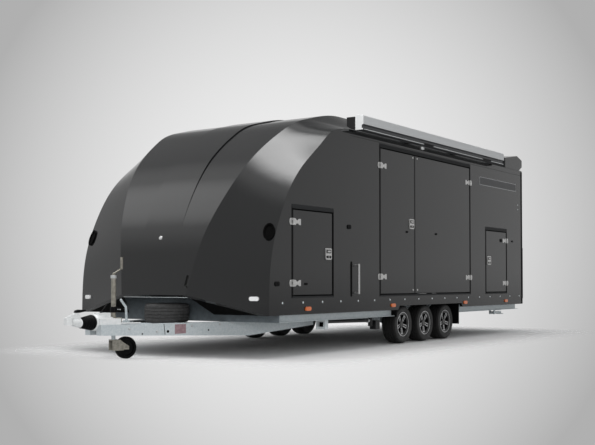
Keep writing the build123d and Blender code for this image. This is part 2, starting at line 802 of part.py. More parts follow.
def jockey_mast():
    """Outer tube with its clamp on the drawbar plate, and the crank at its top."""
    mast = rod((mast_x, 0, mast_bottom_z), (mast_x, 0, mast_top_z - 12), mast_r)
    clamp_z = drawbar_top_z + 6
    mast += block(mast_x - 80, mast_x - 10, -35, 35, clamp_z, clamp_z + 54)
    mast += rod((mast_x, 0, mast_top_z - 12), (mast_x, 0, mast_top_z + 6), mast_r - 6)
    crank_z, arm_x = mast_top_z + 12, mast_x - 109
    mast += rod((mast_x, 0, mast_top_z), (mast_x, 0, crank_z), 12)
    mast += rod((mast_x, 0, crank_z), (arm_x, 0, crank_z + 52), 7)
    mast += Pos(mast_x, 0, crank_z) * Sphere(12)
    mast += rod((arm_x, 0, crank_z + 44), (arm_x, 0, crank_z + 163), 13)
    return mast - rod((mast_x, 0, mast_bottom_z - 1), (mast_x, 0, mast_top_z - 40),
                      leg_r + run_gap)


def jockey_leg():
    return rod((mast_x, 0, 190), (mast_x, 0, mast_top_z - 100), leg_r)


def jockey_fork():
    """Fork with two cheeks, drawn straight back and then turned about the mast."""
    front, back, axle_x = mast_x + 28, mast_x - 88, mast_x - castor_trail
    fork = block(mast_x - 40, front, -45, 45, 178, 189.7)
    for y0 in (-45, 37):
        fork += xz_plate([(front, 189), (mast_x - 50, 189), (back, 160),
                          (axle_x - 16, jockey_r + 16), (axle_x - 16, jockey_r - 16),
                          (back, jockey_r - 16), (back, 84), (front, 84)], y0, y0 + 8)
    fork += rod((mast_x - castor_trail, -45, jockey_r), (mast_x - castor_trail, 45, jockey_r), 10)
    return fork.rotate(Axis((mast_x, 0, 0), (0, 0, 1)), -castor_turn)


def jockey_wheel():
    h = jockey_w / 2
    profile = [(10 + run_gap, -h - 3), (30, -h - 3), (30, -12), (jockey_r - 30, -12), (jockey_r - 28, -h),
               (jockey_r - 6, -h), (jockey_r, -h + 10), (jockey_r, h - 10), (jockey_r - 6, h),
               (jockey_r - 28, h), (jockey_r - 30, 12), (30, 12), (30, h + 3), (10 + run_gap, h + 3)]
    wheel = revolve_y(profile, mast_x - castor_trail, 0, jockey_r)
    return wheel.rotate(Axis((mast_x, 0, 0), (0, 0, 1)), -castor_turn)


def awning_cassette():
    """Closed cassette of the roll-out awning: a tall front cover over a stepped-back
    lead rail with its folded leg bar."""
    y0, y1 = awning_y
    z0, z1 = awning_z
    outline = [(y0, z0), (y1 - 6, z0), (y1 - 6, z0 + 16), (y1 - 22, z0 + 20), (y1 - 22, z0 + 52),
               (y1, z0 + 60), (y1, z1 - 28), (y1 - 8, z1 - 9), (y1 - 28, z1), (y0, z1)]
    return yz_bar(outline, *awning_x)


def cant_y(z):
    """Outer face of the roof's sloping side at a height."""
    return half_width - (half_width - roof_half) * (z - seam_z) / roof_rise


def awning_brackets():
    """Brackets from the roof's sloping side out to the cassette."""
    z0, z1 = seam_z + 8, awning_z[1] - 15
    foot_z = seam_z + bracket_reach * roof_rise / (half_width - roof_half)
    width, count = 110, 4
    pitch = (awning_x[1] - awning_x[0] - width) / (count - 1)
    out = []
    for k in range(count):
        x = awning_x[0] + k * pitch
        out.append(yz_bar([(awning_y[0], z0), (awning_y[0], z1), (half_width - bracket_reach, z1),
                           (half_width - bracket_reach, foot_z), (cant_y(z0), z0)],
                          x, x + width))
    return Compound(out)


def spoiler():
    """Roof spoiler that squares off the sloping sides at the rear; its ends droop."""
    rear, top = body_rear_x - portal_len + 5, spoiler_top_z
    tip_z = seam_z + 2
    section = [(spoiler_front_x, tip_z), (spoiler_front_x, top - 92),
               (spoiler_front_x - 460, top), (rear, top - 53), (rear, top - 175),
               (rear + 121, tip_z)]
    drooped = [(x, z - ear_drop if z > top - 80 else z) for x, z in section]
    wing = xz_plate(section, -roof_half, roof_half)
    ear = Solid.make_loft([Wire.make_polygon([(x, roof_half, z) for x, z in section]),
                           Wire.make_polygon([(x, half_width, z) for x, z in drooped])], True)
    wing += ear + other_side(ear)
    solid_roof = yz_bar([(half_width, seam_z), (roof_half, roof_z), (band_half, roof_z),
                         (band_half, roof_z + band_t), (-band_half, roof_z + band_t),
                         (-band_half, roof_z), (-roof_half, roof_z), (-half_width, seam_z),
                         (-half_width, sill_z), (half_width, sill_z)], body_rear_x, 0)
    return wing - solid_roof - rear_portal()


# ---- fittings ----

def spare_wheel(profile, x, z):
    """Turn a (radius, height) section about a vertical axle."""
    face = Face(Wire.make_polygon([(x + r, 0, z + dz) for r, dz in profile]))
    return revolve(face, axis=Axis((x, 0, z), (0, 0, 1)))


def spare_carrier():
    """Tray between the drawbar rails under the spare wheel, with its clamp bolt."""
    inner = drawbar_w * hypot(1, drawbar_slope)
    ends = [(x, drawbar_face_y(x) - inner) for x in (spare_x + 90, spare_x - 90)]
    ends += [(x, -y) for x, y in reversed(ends)]
    tray = xy_plate(ends, tray_top_z - tray_t, tray_top_z)
    return tray + rod((spare_x, 0, tray_top_z), (spare_x, 0, spare_z + 60), 10)


def mudguards():
    """Flat-topped mudguard over three wheels, with a flap at each end."""
    reach = axle_pitch * (axle_count - 1) / 2 + tyre_r + 45
    top = deck_top_z - deck_t
    inside, outside = rail_y + rail_w / 2 + 60, half_width - wall_t
    guard = block(-reach, reach, inside, outside, top - 6, top)
    guard += block(-reach - 8, -reach, inside, outside, 190, top)
    guard += block(reach, reach + 8, inside, outside, 330, top)
    return both_sides(guard)


def grab_handle():
    x, out = grab_x, half_width + 50
    low, high = grab_z
    bar = rod((x, out, low), (x, out, high), 13)
    for z in (low + 14, high - 14):
        bar += rod((x, half_width, z), (x, out + 2, z), 12)
    return bar


def marker_lamps():
    """Marker lamps along the walls and at the front of the nose."""
    width, height = lamp_size
    lens = RectangleRounded(width, height, height * 0.45)
    side = extrude(Plane.XZ.offset(-half_width) * lens, amount=-lamp_t)
    lamps = [side.moved(Location((x, 0, marker_z))) for x in marker_x]
    lamps.append(on_facet(front_lamp_y, front_lamp_z, lens, 20))
    return both_sides(Compound([solid for lamp in lamps for solid in lamp.solids()]))


def steady_leg(side):
    """A rear corner steady, folded up under the chassis."""
    y = side * steady_y
    leg = block(steady_x - steady_len, steady_x, y - 20, y + 20, steady_z - 16, steady_z + 16)
    leg += block(steady_x - steady_len - 20, steady_x - steady_len + 40, y - 45, y + 45,
                 steady_z - 26, steady_z - 16)
    leg += rod((steady_x, y - 20, steady_z), (steady_x, y + 20, steady_z), 20)
    return leg - rod((steady_x, y - 21, steady_z), (steady_x, y + 21, steady_z),
                     steady_pin_r + run_gap)


def steady_brackets():
    """Forked brackets under the rear sills, each with the pin its steady leg turns on."""
    bracket = rod((steady_x, steady_y - 40, steady_z), (steady_x, steady_y + 40, steady_z),
                  steady_pin_r)
    for y0 in (steady_y - 40, steady_y + 26):
        bracket += block(steady_x - 22, steady_x + 22, y0, y0 + 14, steady_z - 22,
                         drawbar_top_z - 6)
    bracket += block(steady_x - 40, steady_x + 40, steady_y - 40, outer_sill_y + 20,
                     drawbar_top_z - 6, drawbar_top_z)
    return both_sides(bracket)


def rear_lamps():
    """Tall light clusters at the rear corners, standing proud of the portal."""
    rear = body_rear_x - portal_len
    lamp = block(rear - 25, rear, half_width - 110, half_width, 500, 1263)
    return both_sides(lamp)


def write(name, shape):
    """Move a node to the middle of the trailer's footprint and write it as STEP."""
    to_origin = Location((-origin_x, -origin_y, 0))
    solids = [solid.moved(to_origin) for solid in shape.solids()]
    part = solids[0] if len(solids) == 1 else Compound(solids)
    part.label = name
    export_step(part, f"parts/{name}.step")


os.makedirs("parts", exist_ok=True)
coupling_tip_x = ball_x + 42
origin_x = (coupling_tip_x + body_rear_x - portal_len - 25) / 2
origin_y = (awning_y[1] - half_width - 14) / 2

nodes = {
    "chassis_rails": chassis_rails(),
    "cross_members": cross_members(),
    "front_bulkhead": front_bulkhead(),
    "drawbar": drawbar(),
    "overrun_housing": overrun_housing(),
    "coupling_head": coupling_head(),
    "coupling_bellows": bellows(),
    "coupling_handle": coupling_handle(),
    "handbrake_lever": handbrake_lever(),
    "jockey_mast": jockey_mast(),
    "jockey_leg": jockey_leg(),
    "jockey_fork": jockey_fork(),
    "jockey_wheel": jockey_wheel(),
    "spare_tyre": tyre().moved(Location((spare_x, 0, spare_z))),
    "spare_rim": spare_wheel([(r, dz) for r, dz in (
        (14, -20), (rim_seat_r - 8, -20), (rim_seat_r - 8, -rim_half), (rim_seat_r, -rim_half),
        (rim_seat_r, rim_half), (rim_r, rim_half), (rim_seat_r - 8, rim_half - 8),
        (rim_seat_r - 8, -8), (14, -8))],
        spare_x, spare_z),
    "spare_carrier": spare_carrier(),
    "axle_tubes": axle_tubes(),
    "swing_arms": swing_arms(),
    "nose_middle": nose_middle(),
    "nose_facets": both_sides(facet),
    "nose_floor": nose_floor(),
    "nose_skirts": nose_skirts(),
    "vents": vents(),
    "roof": roof_shell(),
    "left_wall": left_wall(),
    "right_wall": other_side(wall_plate()),
    "floor_deck": deck(),
    "rear_portal": rear_portal(),
    "ramp_pins": ramp_pins(),
    "ramp_door": ramp_door(),
    "hatch_front": door_leaf(hatch_front, 1042),
    "door_front": door_leaf(door_front, 1450),
    "door_rear": door_leaf(door_rear),
    "hatch_rear": door_leaf(hatch_rear, 1050),
    "fixed_hinges": fixed_hinges(),
    "awning_cassette": awning_cassette(),
    "awning_brackets": awning_brackets(),
    "roof_spoiler": spoiler(),
    "mudguards": mudguards(),
    "grab_handle": grab_handle(),
    "marker_lamps": marker_lamps(),
    "rear_lamps": rear_lamps(),
    "steady_brackets": steady_brackets(),
    "steady_left": steady_leg(1),
    "steady_right": steady_leg(-1),
}
for number, x in enumerate(axle_stations(), 1):
    for name, side in (("left", 1), ("right", -1)):
        nodes[f"tyre_{name}_{number}"] = road_tyre.moved(Location((x, side * hub_y, tyre_r)))
        nodes[f"rim_{name}_{number}"] = road_rim(x, side)

for name, shape in nodes.items():
    write(name, shape)
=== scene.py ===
import json
import math
import bpy
import bmesh
from mathutils import Matrix, Vector
from mathutils.bvhtree import BVHTree


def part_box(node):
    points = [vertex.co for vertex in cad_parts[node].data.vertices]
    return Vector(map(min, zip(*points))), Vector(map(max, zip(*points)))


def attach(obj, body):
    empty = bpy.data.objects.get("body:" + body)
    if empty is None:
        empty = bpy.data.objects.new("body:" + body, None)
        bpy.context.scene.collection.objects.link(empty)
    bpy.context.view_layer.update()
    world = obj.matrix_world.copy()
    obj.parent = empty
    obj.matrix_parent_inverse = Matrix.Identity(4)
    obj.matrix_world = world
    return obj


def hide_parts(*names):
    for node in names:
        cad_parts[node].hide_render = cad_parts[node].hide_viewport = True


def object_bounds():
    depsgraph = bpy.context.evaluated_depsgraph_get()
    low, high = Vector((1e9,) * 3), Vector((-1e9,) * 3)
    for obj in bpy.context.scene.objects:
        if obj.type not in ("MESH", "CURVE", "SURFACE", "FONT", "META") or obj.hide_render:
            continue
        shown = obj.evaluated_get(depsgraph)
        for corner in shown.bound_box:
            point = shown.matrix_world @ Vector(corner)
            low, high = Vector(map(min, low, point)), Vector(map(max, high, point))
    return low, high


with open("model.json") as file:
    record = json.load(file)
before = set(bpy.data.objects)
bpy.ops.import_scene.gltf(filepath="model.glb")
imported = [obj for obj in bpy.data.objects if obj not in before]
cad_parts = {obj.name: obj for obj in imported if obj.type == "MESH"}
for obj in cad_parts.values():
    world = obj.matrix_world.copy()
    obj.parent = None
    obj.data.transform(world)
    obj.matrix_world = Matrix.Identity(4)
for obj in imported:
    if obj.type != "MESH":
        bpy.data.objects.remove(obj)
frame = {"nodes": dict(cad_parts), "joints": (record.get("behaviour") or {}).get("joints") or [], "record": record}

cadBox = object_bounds()
print("frame loaded:", len(frame["nodes"]), "nodes")

cameraSetup = dict(
    place=(10.348, 6.784, 0.748),
    turn=34.06,          # degrees that the view turns from -X towards -Y
    tilt=1.49,           # degrees up
    lens=59.79,
    shiftUp=0.0566,
    farthest=200.0,      # metres that it sees
)


def makeCamera():
    turn, tilt = math.radians(cameraSetup["turn"]), math.radians(cameraSetup["tilt"])
    look = Vector((-math.cos(turn) * math.cos(tilt), -math.sin(turn) * math.cos(tilt), math.sin(tilt)))
    data = bpy.data.cameras.new("studioCamera")
    data.lens = cameraSetup["lens"]
    data.shift_y = cameraSetup["shiftUp"]
    data.clip_end = cameraSetup["farthest"]
    camera = bpy.data.objects.new("studioCamera", data)
    camera.location = cameraSetup["place"]
    camera.rotation_euler = look.to_track_quat("-Z", "Y").to_euler()
    bpy.context.scene.collection.objects.link(camera)
    bpy.context.scene.camera = camera
    return look


viewDirection = makeCamera()

jointPlaces = {joint["name"]: Vector(joint["pos_m"]) for joint in frame["joints"] if joint.get("pos_m")}
middleLeft, middleRight = jointPlaces["wheel_left_2_turn"], jointPlaces["wheel_right_2_turn"]
centreOffset = Vector((middleLeft.x, (middleLeft.y + middleRight.y) / 2, 0))
bodyOfNode = {node: body for body, nodes in frame["record"]["behaviour"]["bodies"].items() for node in nodes}
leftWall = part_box("left_wall")
wallFace = leftWall[1].y - centreOffset.y      # half the body's width


def at(x, y, z):      # from the middle axle, the centreline and the ground
    return Vector((x, y, z)) + centreOffset


def colour(hexColour):      # an sRGB hex value as linear light
    channels = [int(hexColour[k:k + 2], 16) / 255 for k in (1, 3, 5)]
    return [c / 12.92 if c < 0.04045 else ((c + 0.055) / 1.055) ** 2.4 for c in channels] + [1]


def addNode(tree, kind, settings=None, inputs=None):
    node = tree.nodes.new(kind)
    for key, value in (settings or {}).items():
        setattr(node, key, value)
    for key, value in (inputs or {}).items():
        if isinstance(value, bpy.types.NodeSocket):
            tree.links.new(value, node.inputs[key])
        else:
            node.inputs[key].default_value = value
    return node


def newMaterial(name, base, **inputs):
    material = bpy.data.materials.new(name)
    material.use_nodes = True
    shader = material.node_tree.nodes["Principled BSDF"]
    shader.inputs["Base Color"].default_value = colour(base)
    for key, value in inputs.items():
        shader.inputs[key.replace("_", " ")].default_value = value
    return material


# a grain is its size in millimetres, or that with its detail and its stretch along each axis
def noiseOf(material, grain):
    grain = grain if isinstance(grain, tuple) else (grain,)
    sizeMm, detail, stretch = (*grain, *(2.0, None)[len(grain) - 1:])
    tree = material.node_tree
    place = addNode(tree, "ShaderNodeTexCoord").outputs["Object"]
    if stretch:
        place = addNode(tree, "ShaderNodeMapping", inputs={"Vector": place, "Scale": stretch}).outputs[0]
    return addNode(tree, "ShaderNodeTexNoise", inputs={"Vector": place, "Scale": 1000 / sizeMm,
                                                      "Detail": detail}).outputs[0]


noiseLow, noiseHigh = 0.3, 0.7      # the levels of the noise that become the two ends


def spread(material, grain, low, high):
    return addNode(material.node_tree, "ShaderNodeMapRange",
                   inputs={"Value": noiseOf(material, grain), "From Min": noiseLow, "From Max": noiseHigh,
                           "To Min": low, "To Max": high}).outputs[0]


def tint(material, grain, low, high):      # colour between two hex values
    tree = material.node_tree
    mix = addNode(tree, "ShaderNodeMix", {"data_type": "RGBA"}, {0: spread(material, grain, 0, 1)})
    mix.inputs[6].default_value, mix.inputs[7].default_value = colour(low), colour(high)
    tree.links.new(mix.outputs[2], tree.nodes["Principled BSDF"].inputs["Base Color"])


def roughen(material, grain, low, high):
    tree = material.node_tree
    tree.links.new(spread(material, grain, low, high), tree.nodes["Principled BSDF"].inputs["Roughness"])


def relief(material, grain, heightMm, strength):
    tree = material.node_tree
    bump = addNode(tree, "ShaderNodeBump", inputs={"Height": noiseOf(material, grain),
                                                   "Distance": heightMm / 1000, "Strength": strength})
    tree.links.new(bump.outputs[0], tree.nodes["Principled BSDF"].inputs["Normal"])


# two-coat anthracite lacquer on moulded polyester: a dark body under a clear, mirror-like coat
bodyPaint = newMaterial("anthraciteLacquer", "#111213", Roughness=0.55, Specular_IOR_Level=0.03,
                        Coat_Weight=1.0, Coat_Roughness=0.03)
tint(bodyPaint, 900, "#101112", "#131415")
relief(bodyPaint, (240, 1.0), 0.25, 0.5)      # the slow waviness of moulded panels

# hot-dip galvanised steel: pale zinc with blue-grey spangles about 15 mm across
galvanised = newMaterial("hotDipGalvanised", "#c6cdd0", Metallic=0.3, Roughness=0.45)
tint(galvanised, (17, 3.0), "#bcc6ca", "#d0d6d8")
roughen(galvanised, 40, 0.36, 0.5)
relief(galvanised, 9, 0.08, 0.3)

# zinc-plated tube of the jockey wheel, older and browner than the frame
dullZinc = newMaterial("agedZincTube", "#9a968c", Metallic=0.6, Roughness=0.45)
tint(dullZinc, (30, 3.0), "#827f77", "#aaa69b")

# silver-painted iron casting: a fine sandy skin
castSilver = newMaterial("silverPaintedCasting", "#dfe1e1", Metallic=0.1, Roughness=0.42)
tint(castSilver, 30, "#dadddd", "#e8e9e9")
relief(castSilver, 3, 0.2, 0.5)

# black powder coat: satin with a faint orange peel
blackSteel = newMaterial("blackPowderCoat", "#111112", Roughness=0.42)
relief(blackSteel, 2.5, 0.08, 0.5)

# moulded ABS and polypropylene: black with a fine leather-like grain
blackPlastic = newMaterial("grainedBlackAbs", "#060607", Roughness=0.55, Specular_IOR_Level=0.15)
relief(blackPlastic, 1.6, 0.06, 0.5)

# EPDM profile round the doors: dull black rubber
sealRubber = newMaterial("epdmSeal", "#060606", Roughness=0.75, Specular_IOR_Level=0.1)
relief(sealRubber, 3, 0.05, 0.5)

# tyre rubber: sidewalls greyed by bloom and dust, the tread darker
tyreSide = newMaterial("tyreSidewall", "#323232", Roughness=0.7)
tint(tyreSide, (60, 3.0), "#2c2c2c", "#393939")
tyreTread = newMaterial("tyreTread", "#161616", Roughness=0.85)
tint(tyreTread, (25, 3.0), "#131313", "#1c1c1c")

# painted alloy wheel: gloss black pockets, diamond-cut bright faces with fine turning lines
alloyBlack = newMaterial("glossBlackAlloy", "#0d0d0e", Roughness=0.3, Coat_Weight=0.8, Coat_Roughness=0.05)
tint(alloyBlack, 120, "#0c0c0d", "#101011")
alloyCut = newMaterial("diamondCutAlloy", "#d9dadb", Metallic=0.85, Roughness=0.3)
roughen(alloyCut, (2, 1.0), 0.24, 0.36)

# clear anodised aluminium extrusion: even silver with faint drawing lines along its length
anodised = newMaterial("anodisedAluminium", "#c9cbcc", Metallic=0.35, Roughness=0.45)
roughen(anodised, (3, 1.0, (0.02, 1, 1)), 0.4, 0.52)
darkRail = newMaterial("darkLeadRail", "#4b4c4e", Metallic=0.5, Roughness=0.4)
roughen(darkRail, (3, 1.0, (0.02, 1, 1)), 0.35, 0.48)
whiteCap = newMaterial("whiteAsaCap", "#e9eaea", Roughness=0.35)
tint(whiteCap, 80, "#e4e5e5", "#edeeee")

# polished and brushed stainless steel of the fittings
stainless = newMaterial("brushedStainless", "#d2d2d1", Metallic=0.9, Roughness=0.28)
roughen(stainless, (1.5, 1.0, (1, 1, 0.05)), 0.22, 0.36)
zincBolt = newMaterial("zincPlatedBolt", "#cfd2d3", Metallic=0.7, Roughness=0.3)
roughen(zincBolt, 4, 0.25, 0.4)

# phenolic film-faced birch ply: brown film with a wire-mesh imprint on the deck
plyDeck = newMaterial("filmFacedPly", "#3a2a20", Roughness=0.55)
tint(plyDeck, (70, 3.0), "#33251d", "#433026")
relief(plyDeck, (5, 1.0), 0.3, 0.6)

# acrylic lamp lenses over chromed reflectors
amberLens = newMaterial("amberAcrylic", "#d45a16", Roughness=0.12, Coat_Weight=1.0)
tint(amberLens, (12, 1.0), "#bf4a10", "#ee8440")
redLens = newMaterial("redAcrylic", "#a01414", Roughness=0.12, Coat_Weight=1.0)
tint(redLens, (12, 1.0), "#8a0f10", "#b52020")
clearLens = newMaterial("clearAcrylic", "#f1f1f1", Roughness=0.1, Coat_Weight=1.0)
tint(clearLens, (10, 1.0), "#e2e3e3", "#fafafa")

slotMaterials = dict(
    body_paint=bodyPaint, galvanised=galvanised, cast_grey=castSilver, black_metal=blackSteel,
    black_plastic=blackPlastic, rubber=blackPlastic, tyre=tyreTread, alloy=alloyBlack,
    anodised=anodised, stainless=stainless, ply=plyDeck, lens=amberLens, red_lens=redLens,
)
slotOfNode = {part["node"]: part["material_slot"] for part in frame["record"]["subparts"]}
nodeMaterials = dict(jockey_mast=dullZinc, jockey_fork=dullZinc)

for nodeName, slotName in slotOfNode.items():
    skin = frame["nodes"][nodeName].data.materials
    skin.clear()
    skin.append(nodeMaterials.get(nodeName, slotMaterials[slotName]))
print("materials:", len(bpy.data.materials))


def shadeByAngle(bm, sharpAngle):
    for face in bm.faces:
        face.smooth = True
    for edge in bm.edges:
        edge.smooth = edge.is_manifold and edge.calc_face_angle(math.pi) < math.radians(sharpAngle)


# a modelled mesh becomes an object that rides on a body
def finishPiece(name, bm, materials, body, sharpAngle=35, bevelMm=0.0, replaced=()):
    shadeByAngle(bm, sharpAngle)
    mesh = bpy.data.meshes.new(name)
    bm.to_mesh(mesh)
    bm.free()
    for material in materials:
        mesh.materials.append(material)
    piece = bpy.data.objects.new(name, mesh)
    bpy.context.scene.collection.objects.link(piece)
    if bevelMm:
        bevel = piece.modifiers.new("softEdges", "BEVEL")
        bevel.width, bevel.segments = bevelMm / 1000, 2
        bevel.limit_method, bevel.angle_limit = "ANGLE", math.radians(sharpAngle)
    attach(piece, body)
    if replaced:
        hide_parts(*replaced)


# metres within which vertices are joined, and degrees below which a bend counts as flat
meshWork = dict(nodeWeld=2e-5, pieceWeld=1e-6, flatAngle=0.2)
facing = 0.9       # the share of a normal along an axis that counts as looking that way
skin = 0.0001      # how far a thin layer stands off the face it lies on


def mergedNode(nodeName, flatten=True):      # a CAD node's surface as one closed mesh
    bm = bmesh.new()
    bm.from_mesh(frame["nodes"][nodeName].data)
    bmesh.ops.remove_doubles(bm, verts=bm.verts, dist=meshWork["nodeWeld"])
    if flatten:
        bmesh.ops.dissolve_limit(bm, angle_limit=math.radians(meshWork["flatAngle"]), verts=bm.verts,
                                 edges=bm.edges, use_dissolve_boundaries=False, delimit={"NORMAL"})
    return bm


# the same surface with smooth curves, soft edges and further finishes picked by face
def dressNode(nodeName, materials=None, pick=None, sharpAngle=28, bevelMm=0.0, flatten=True):
    bm = mergedNode(nodeName, flatten)
    if pick:
        for face in bm.faces:
            face.material_index = pick(face.calc_center_median() - centreOffset, face.normal)
    base = nodeMaterials.get(nodeName, slotMaterials[slotOfNode[nodeName]])
    finishPiece(nodeName + "Skin", bm, [base] + list(materials or ()), bodyOfNode[nodeName],
                sharpAngle, bevelMm, (nodeName,))


def surfaceAt(nodeName, start, direction):      # where a line meets a CAD node, and the normal there
    bm = bmesh.new()
    bm.from_mesh(frame["nodes"][nodeName].data)
    place, normal = BVHTree.FromBMesh(bm).ray_cast(start, Vector(direction))[:2]
    bm.free()
    return place, normal


def addBox(bm, low, high):
    low, high = Vector(low), Vector(high)
    stretch = Matrix.Diagonal((*(high - low), 1))
    bmesh.ops.create_cube(bm, size=1, matrix=Matrix.Translation((low + high) / 2) @ stretch)


def addBoxAt(bm, x, y, z, side=1):      # a span along each axis, on the left or mirrored to the right
    y = sorted(side * edge for edge in y)
    addBox(bm, at(x[0], y[0], z[0]), at(x[1], y[1], z[1]))


def addRod(bm, start, end, radius, endRadius=None, segments=16):
    start, end = Vector(start), Vector(end)
    axis = end - start
    turn = axis.to_track_quat("Z", "Y").to_matrix().to_4x4()
    bmesh.ops.create_cone(bm, cap_ends=True, segments=segments, radius1=radius,
                          radius2=radius if endRadius is None else endRadius, depth=axis.length,
                          matrix=Matrix.Translation((start + end) / 2) @ turn)


def pullOut(bm, faces, reach):      # faces raised along a vector
    made = bmesh.ops.extrude_face_region(bm, geom=faces)
    moved = [v for v in made["geom"] if isinstance(v, bmesh.types.BMVert)]
    bmesh.ops.translate(bm, verts=moved, vec=reach)


def addPlate(bm, outline, reach):      # a flat outline raised along a vector
    pullOut(bm, [bm.faces.new([bm.verts.new(point) for point in outline])], reach)


def addFrame(bm, corners, width):      # a flat ring inside an outline
    face = bm.faces.new([bm.verts.new(corner) for corner in corners])
    face.normal_update()
    ring = bmesh.ops.inset_individual(bm, faces=[face], thickness=width, use_even_offset=True)["faces"]
    bmesh.ops.delete(bm, geom=[face], context="FACES_ONLY")
    return ring


def addTurned(bm, outline, centre, axis, steps):      # a closed outline turned once round an axis
    verts = [bm.verts.new(point) for point in outline]
    edges = [bm.edges.new((verts[k - 1], verts[k])) for k in range(len(verts))]
    bmesh.ops.spin(bm, geom=verts + edges, cent=centre, axis=axis, angle=math.tau, steps=steps,
                   use_merge=True)


def placeOf(part):      # the places of a vertex, or of an edge's or a face's vertices
    verts = [part] if isinstance(part, bmesh.types.BMVert) else part.verts
    return sorted(tuple(round(c, 6) for c in v.co) for v in verts)


def tidy(bm):
    bmesh.ops.remove_doubles(bm, verts=bm.verts, dist=meshWork["pieceWeld"])
    for parts in (bm.verts, bm.edges, bm.faces):      # in order of place, so that every run gives the same mesh
        order = {part: k for k, part in enumerate(sorted(parts, key=placeOf))}
        parts.sort(key=order.get)
    bmesh.ops.recalc_face_normals(bm, faces=bm.faces)
    return bm


# near-black that hardly answers light: partly black underseal and a dark seam, mostly painted shade under the
# nose, in holes, in recesses and in the vents' middle
blackAndShade = newMaterial("mattBlackAndPaintedShade", "#030303", Roughness=0.85, Specular_IOR_Level=0.08)
roughen(blackAndShade, 20, 0.75, 0.88)

# galvanised bulkhead behind the spare wheel, painted a darker blue-grey as the shade under the nose
bulkheadShade = newMaterial("paintedShadeBulkheadSheet", "#5a6266", Roughness=0.6)
tint(bulkheadShade, (60, 3.0), "#525a5e", "#636b70")

# freshly galvanised pressing: nearly white, with the finest spangle
brightZinc = newMaterial("brightZincPressing", "#d3d9da", Metallic=0.15, Roughness=0.4)
tint(brightZinc, (12, 2.0), "#cbd2d4", "#dde2e3")

# satin-grey polypropylene trim, a little lighter than the rubber: the wall's trim line, and painted light and
# shade on the seals' level runs and the bands over the doors
trimGreyAndShade = newMaterial("greyTrimAndPaintedShade", "#28292a", Roughness=0.6, Specular_IOR_Level=0.15)
roughen(trimGreyAndShade, 8, 0.5, 0.62)

# white glass-fibre lining of the load space, slightly pebbled
wallLining = newMaterial("glassFibreLining", "#cfd0ce", Roughness=0.5)
tint(wallLining, 400, "#c9cac8", "#d6d7d5")
relief(wallLining, 6, 0.1, 0.5)

# bright chromed brass of the small round fitting on the nose
chromed = newMaterial("chromedBrass", "#e3e3e3", Metallic=1.0, Roughness=0.08)
roughen(chromed, 10, 0.06, 0.12)

# where the bulkhead's flange and the ramp's deck begin, half the width of the nose's lip, depth of the lining
panelFinish = dict(flangeFrom=3.65, deckFrom=-3.045, lipHalf=0.5, liningIn=0.03)
noseLip = ((3.742, 3.7515), (-0.432, 0.432), (0.590, 0.6045))

for panelName in ("nose_middle", "nose_facets", "roof"):
    dressNode(panelName, sharpAngle=14, flatten=False)
dressNode("roof_spoiler", sharpAngle=25, flatten=False)
dressNode("rear_portal", [wallLining], lambda p, n: 1 if n.x > facing else 0, bevelMm=3)
for wallName, side in (("left_wall", 1), ("right_wall", -1)):
    dressNode(wallName, [wallLining], lambda p, n, side=side:
              1 if n.y * side < -facing and abs(p.y) < wallFace - panelFinish["liningIn"] else 0)
# the skirts under the nose near-black: black underseal, darkened further as painted shade
dressNode("nose_skirts", [blackAndShade], lambda p, n: 1)
# the nose floor's underside near-black as painted shade; its front lip bright zinc
dressNode("nose_floor", [blackAndShade, brightZinc],
          lambda p, n: 2 if n.x > facing and abs(p.y) < panelFinish["lipHalf"] else 1)
# the bulkhead's front flange in bright zinc, the rest in the painted-shade blue-grey
dressNode("front_bulkhead", [bulkheadShade, brightZinc],
          lambda p, n: 2 if p.x > panelFinish["flangeFrom"] else 1)
dressNode("ramp_door", [plyDeck], lambda p, n: 1 if n.x > facing and p.x > panelFinish["deckFrom"] else 0)
bm = bmesh.new()
addBoxAt(bm, *noseLip)
finishPiece("noseLipStrip", tidy(bm), [brightZinc], "trailer", 30, 1)
print("body panels dressed")

tyre = dict(
    radius=0.233,
    steps=72,                          # tread blocks round the tyre
    blockRise=0.0022, blockGap=0.0016,
    crownCurve=0.9,                    # how fast the tread falls away from the middle
    grooveDepth=0.006, grooveLean=0.0008,
    ribs=((0.074, 0.053), (0.047, 0.021), (0.015, None)),      # edges of the tread's ribs, from the middle
    treadFrom=0.219,                   # radius where the darker rubber begins
    blockEdge=0.0742, blockDepth=0.0012,
    # radius and offset from the bead to the shoulder, with the raised rings of the sidewall
    sidewall=((0.129, 0.0735), (0.149, 0.0785), (0.1515, 0.0835), (0.158, 0.0888), (0.1595, 0.0908),
              (0.1635, 0.0918), (0.1655, 0.0928), (0.175, 0.0962), (0.186, 0.0972), (0.198, 0.0955),
              (0.1995, 0.0968), (0.2045, 0.0960), (0.206, 0.0938), (0.2155, 0.0893), (0.223, 0.0815)),
)


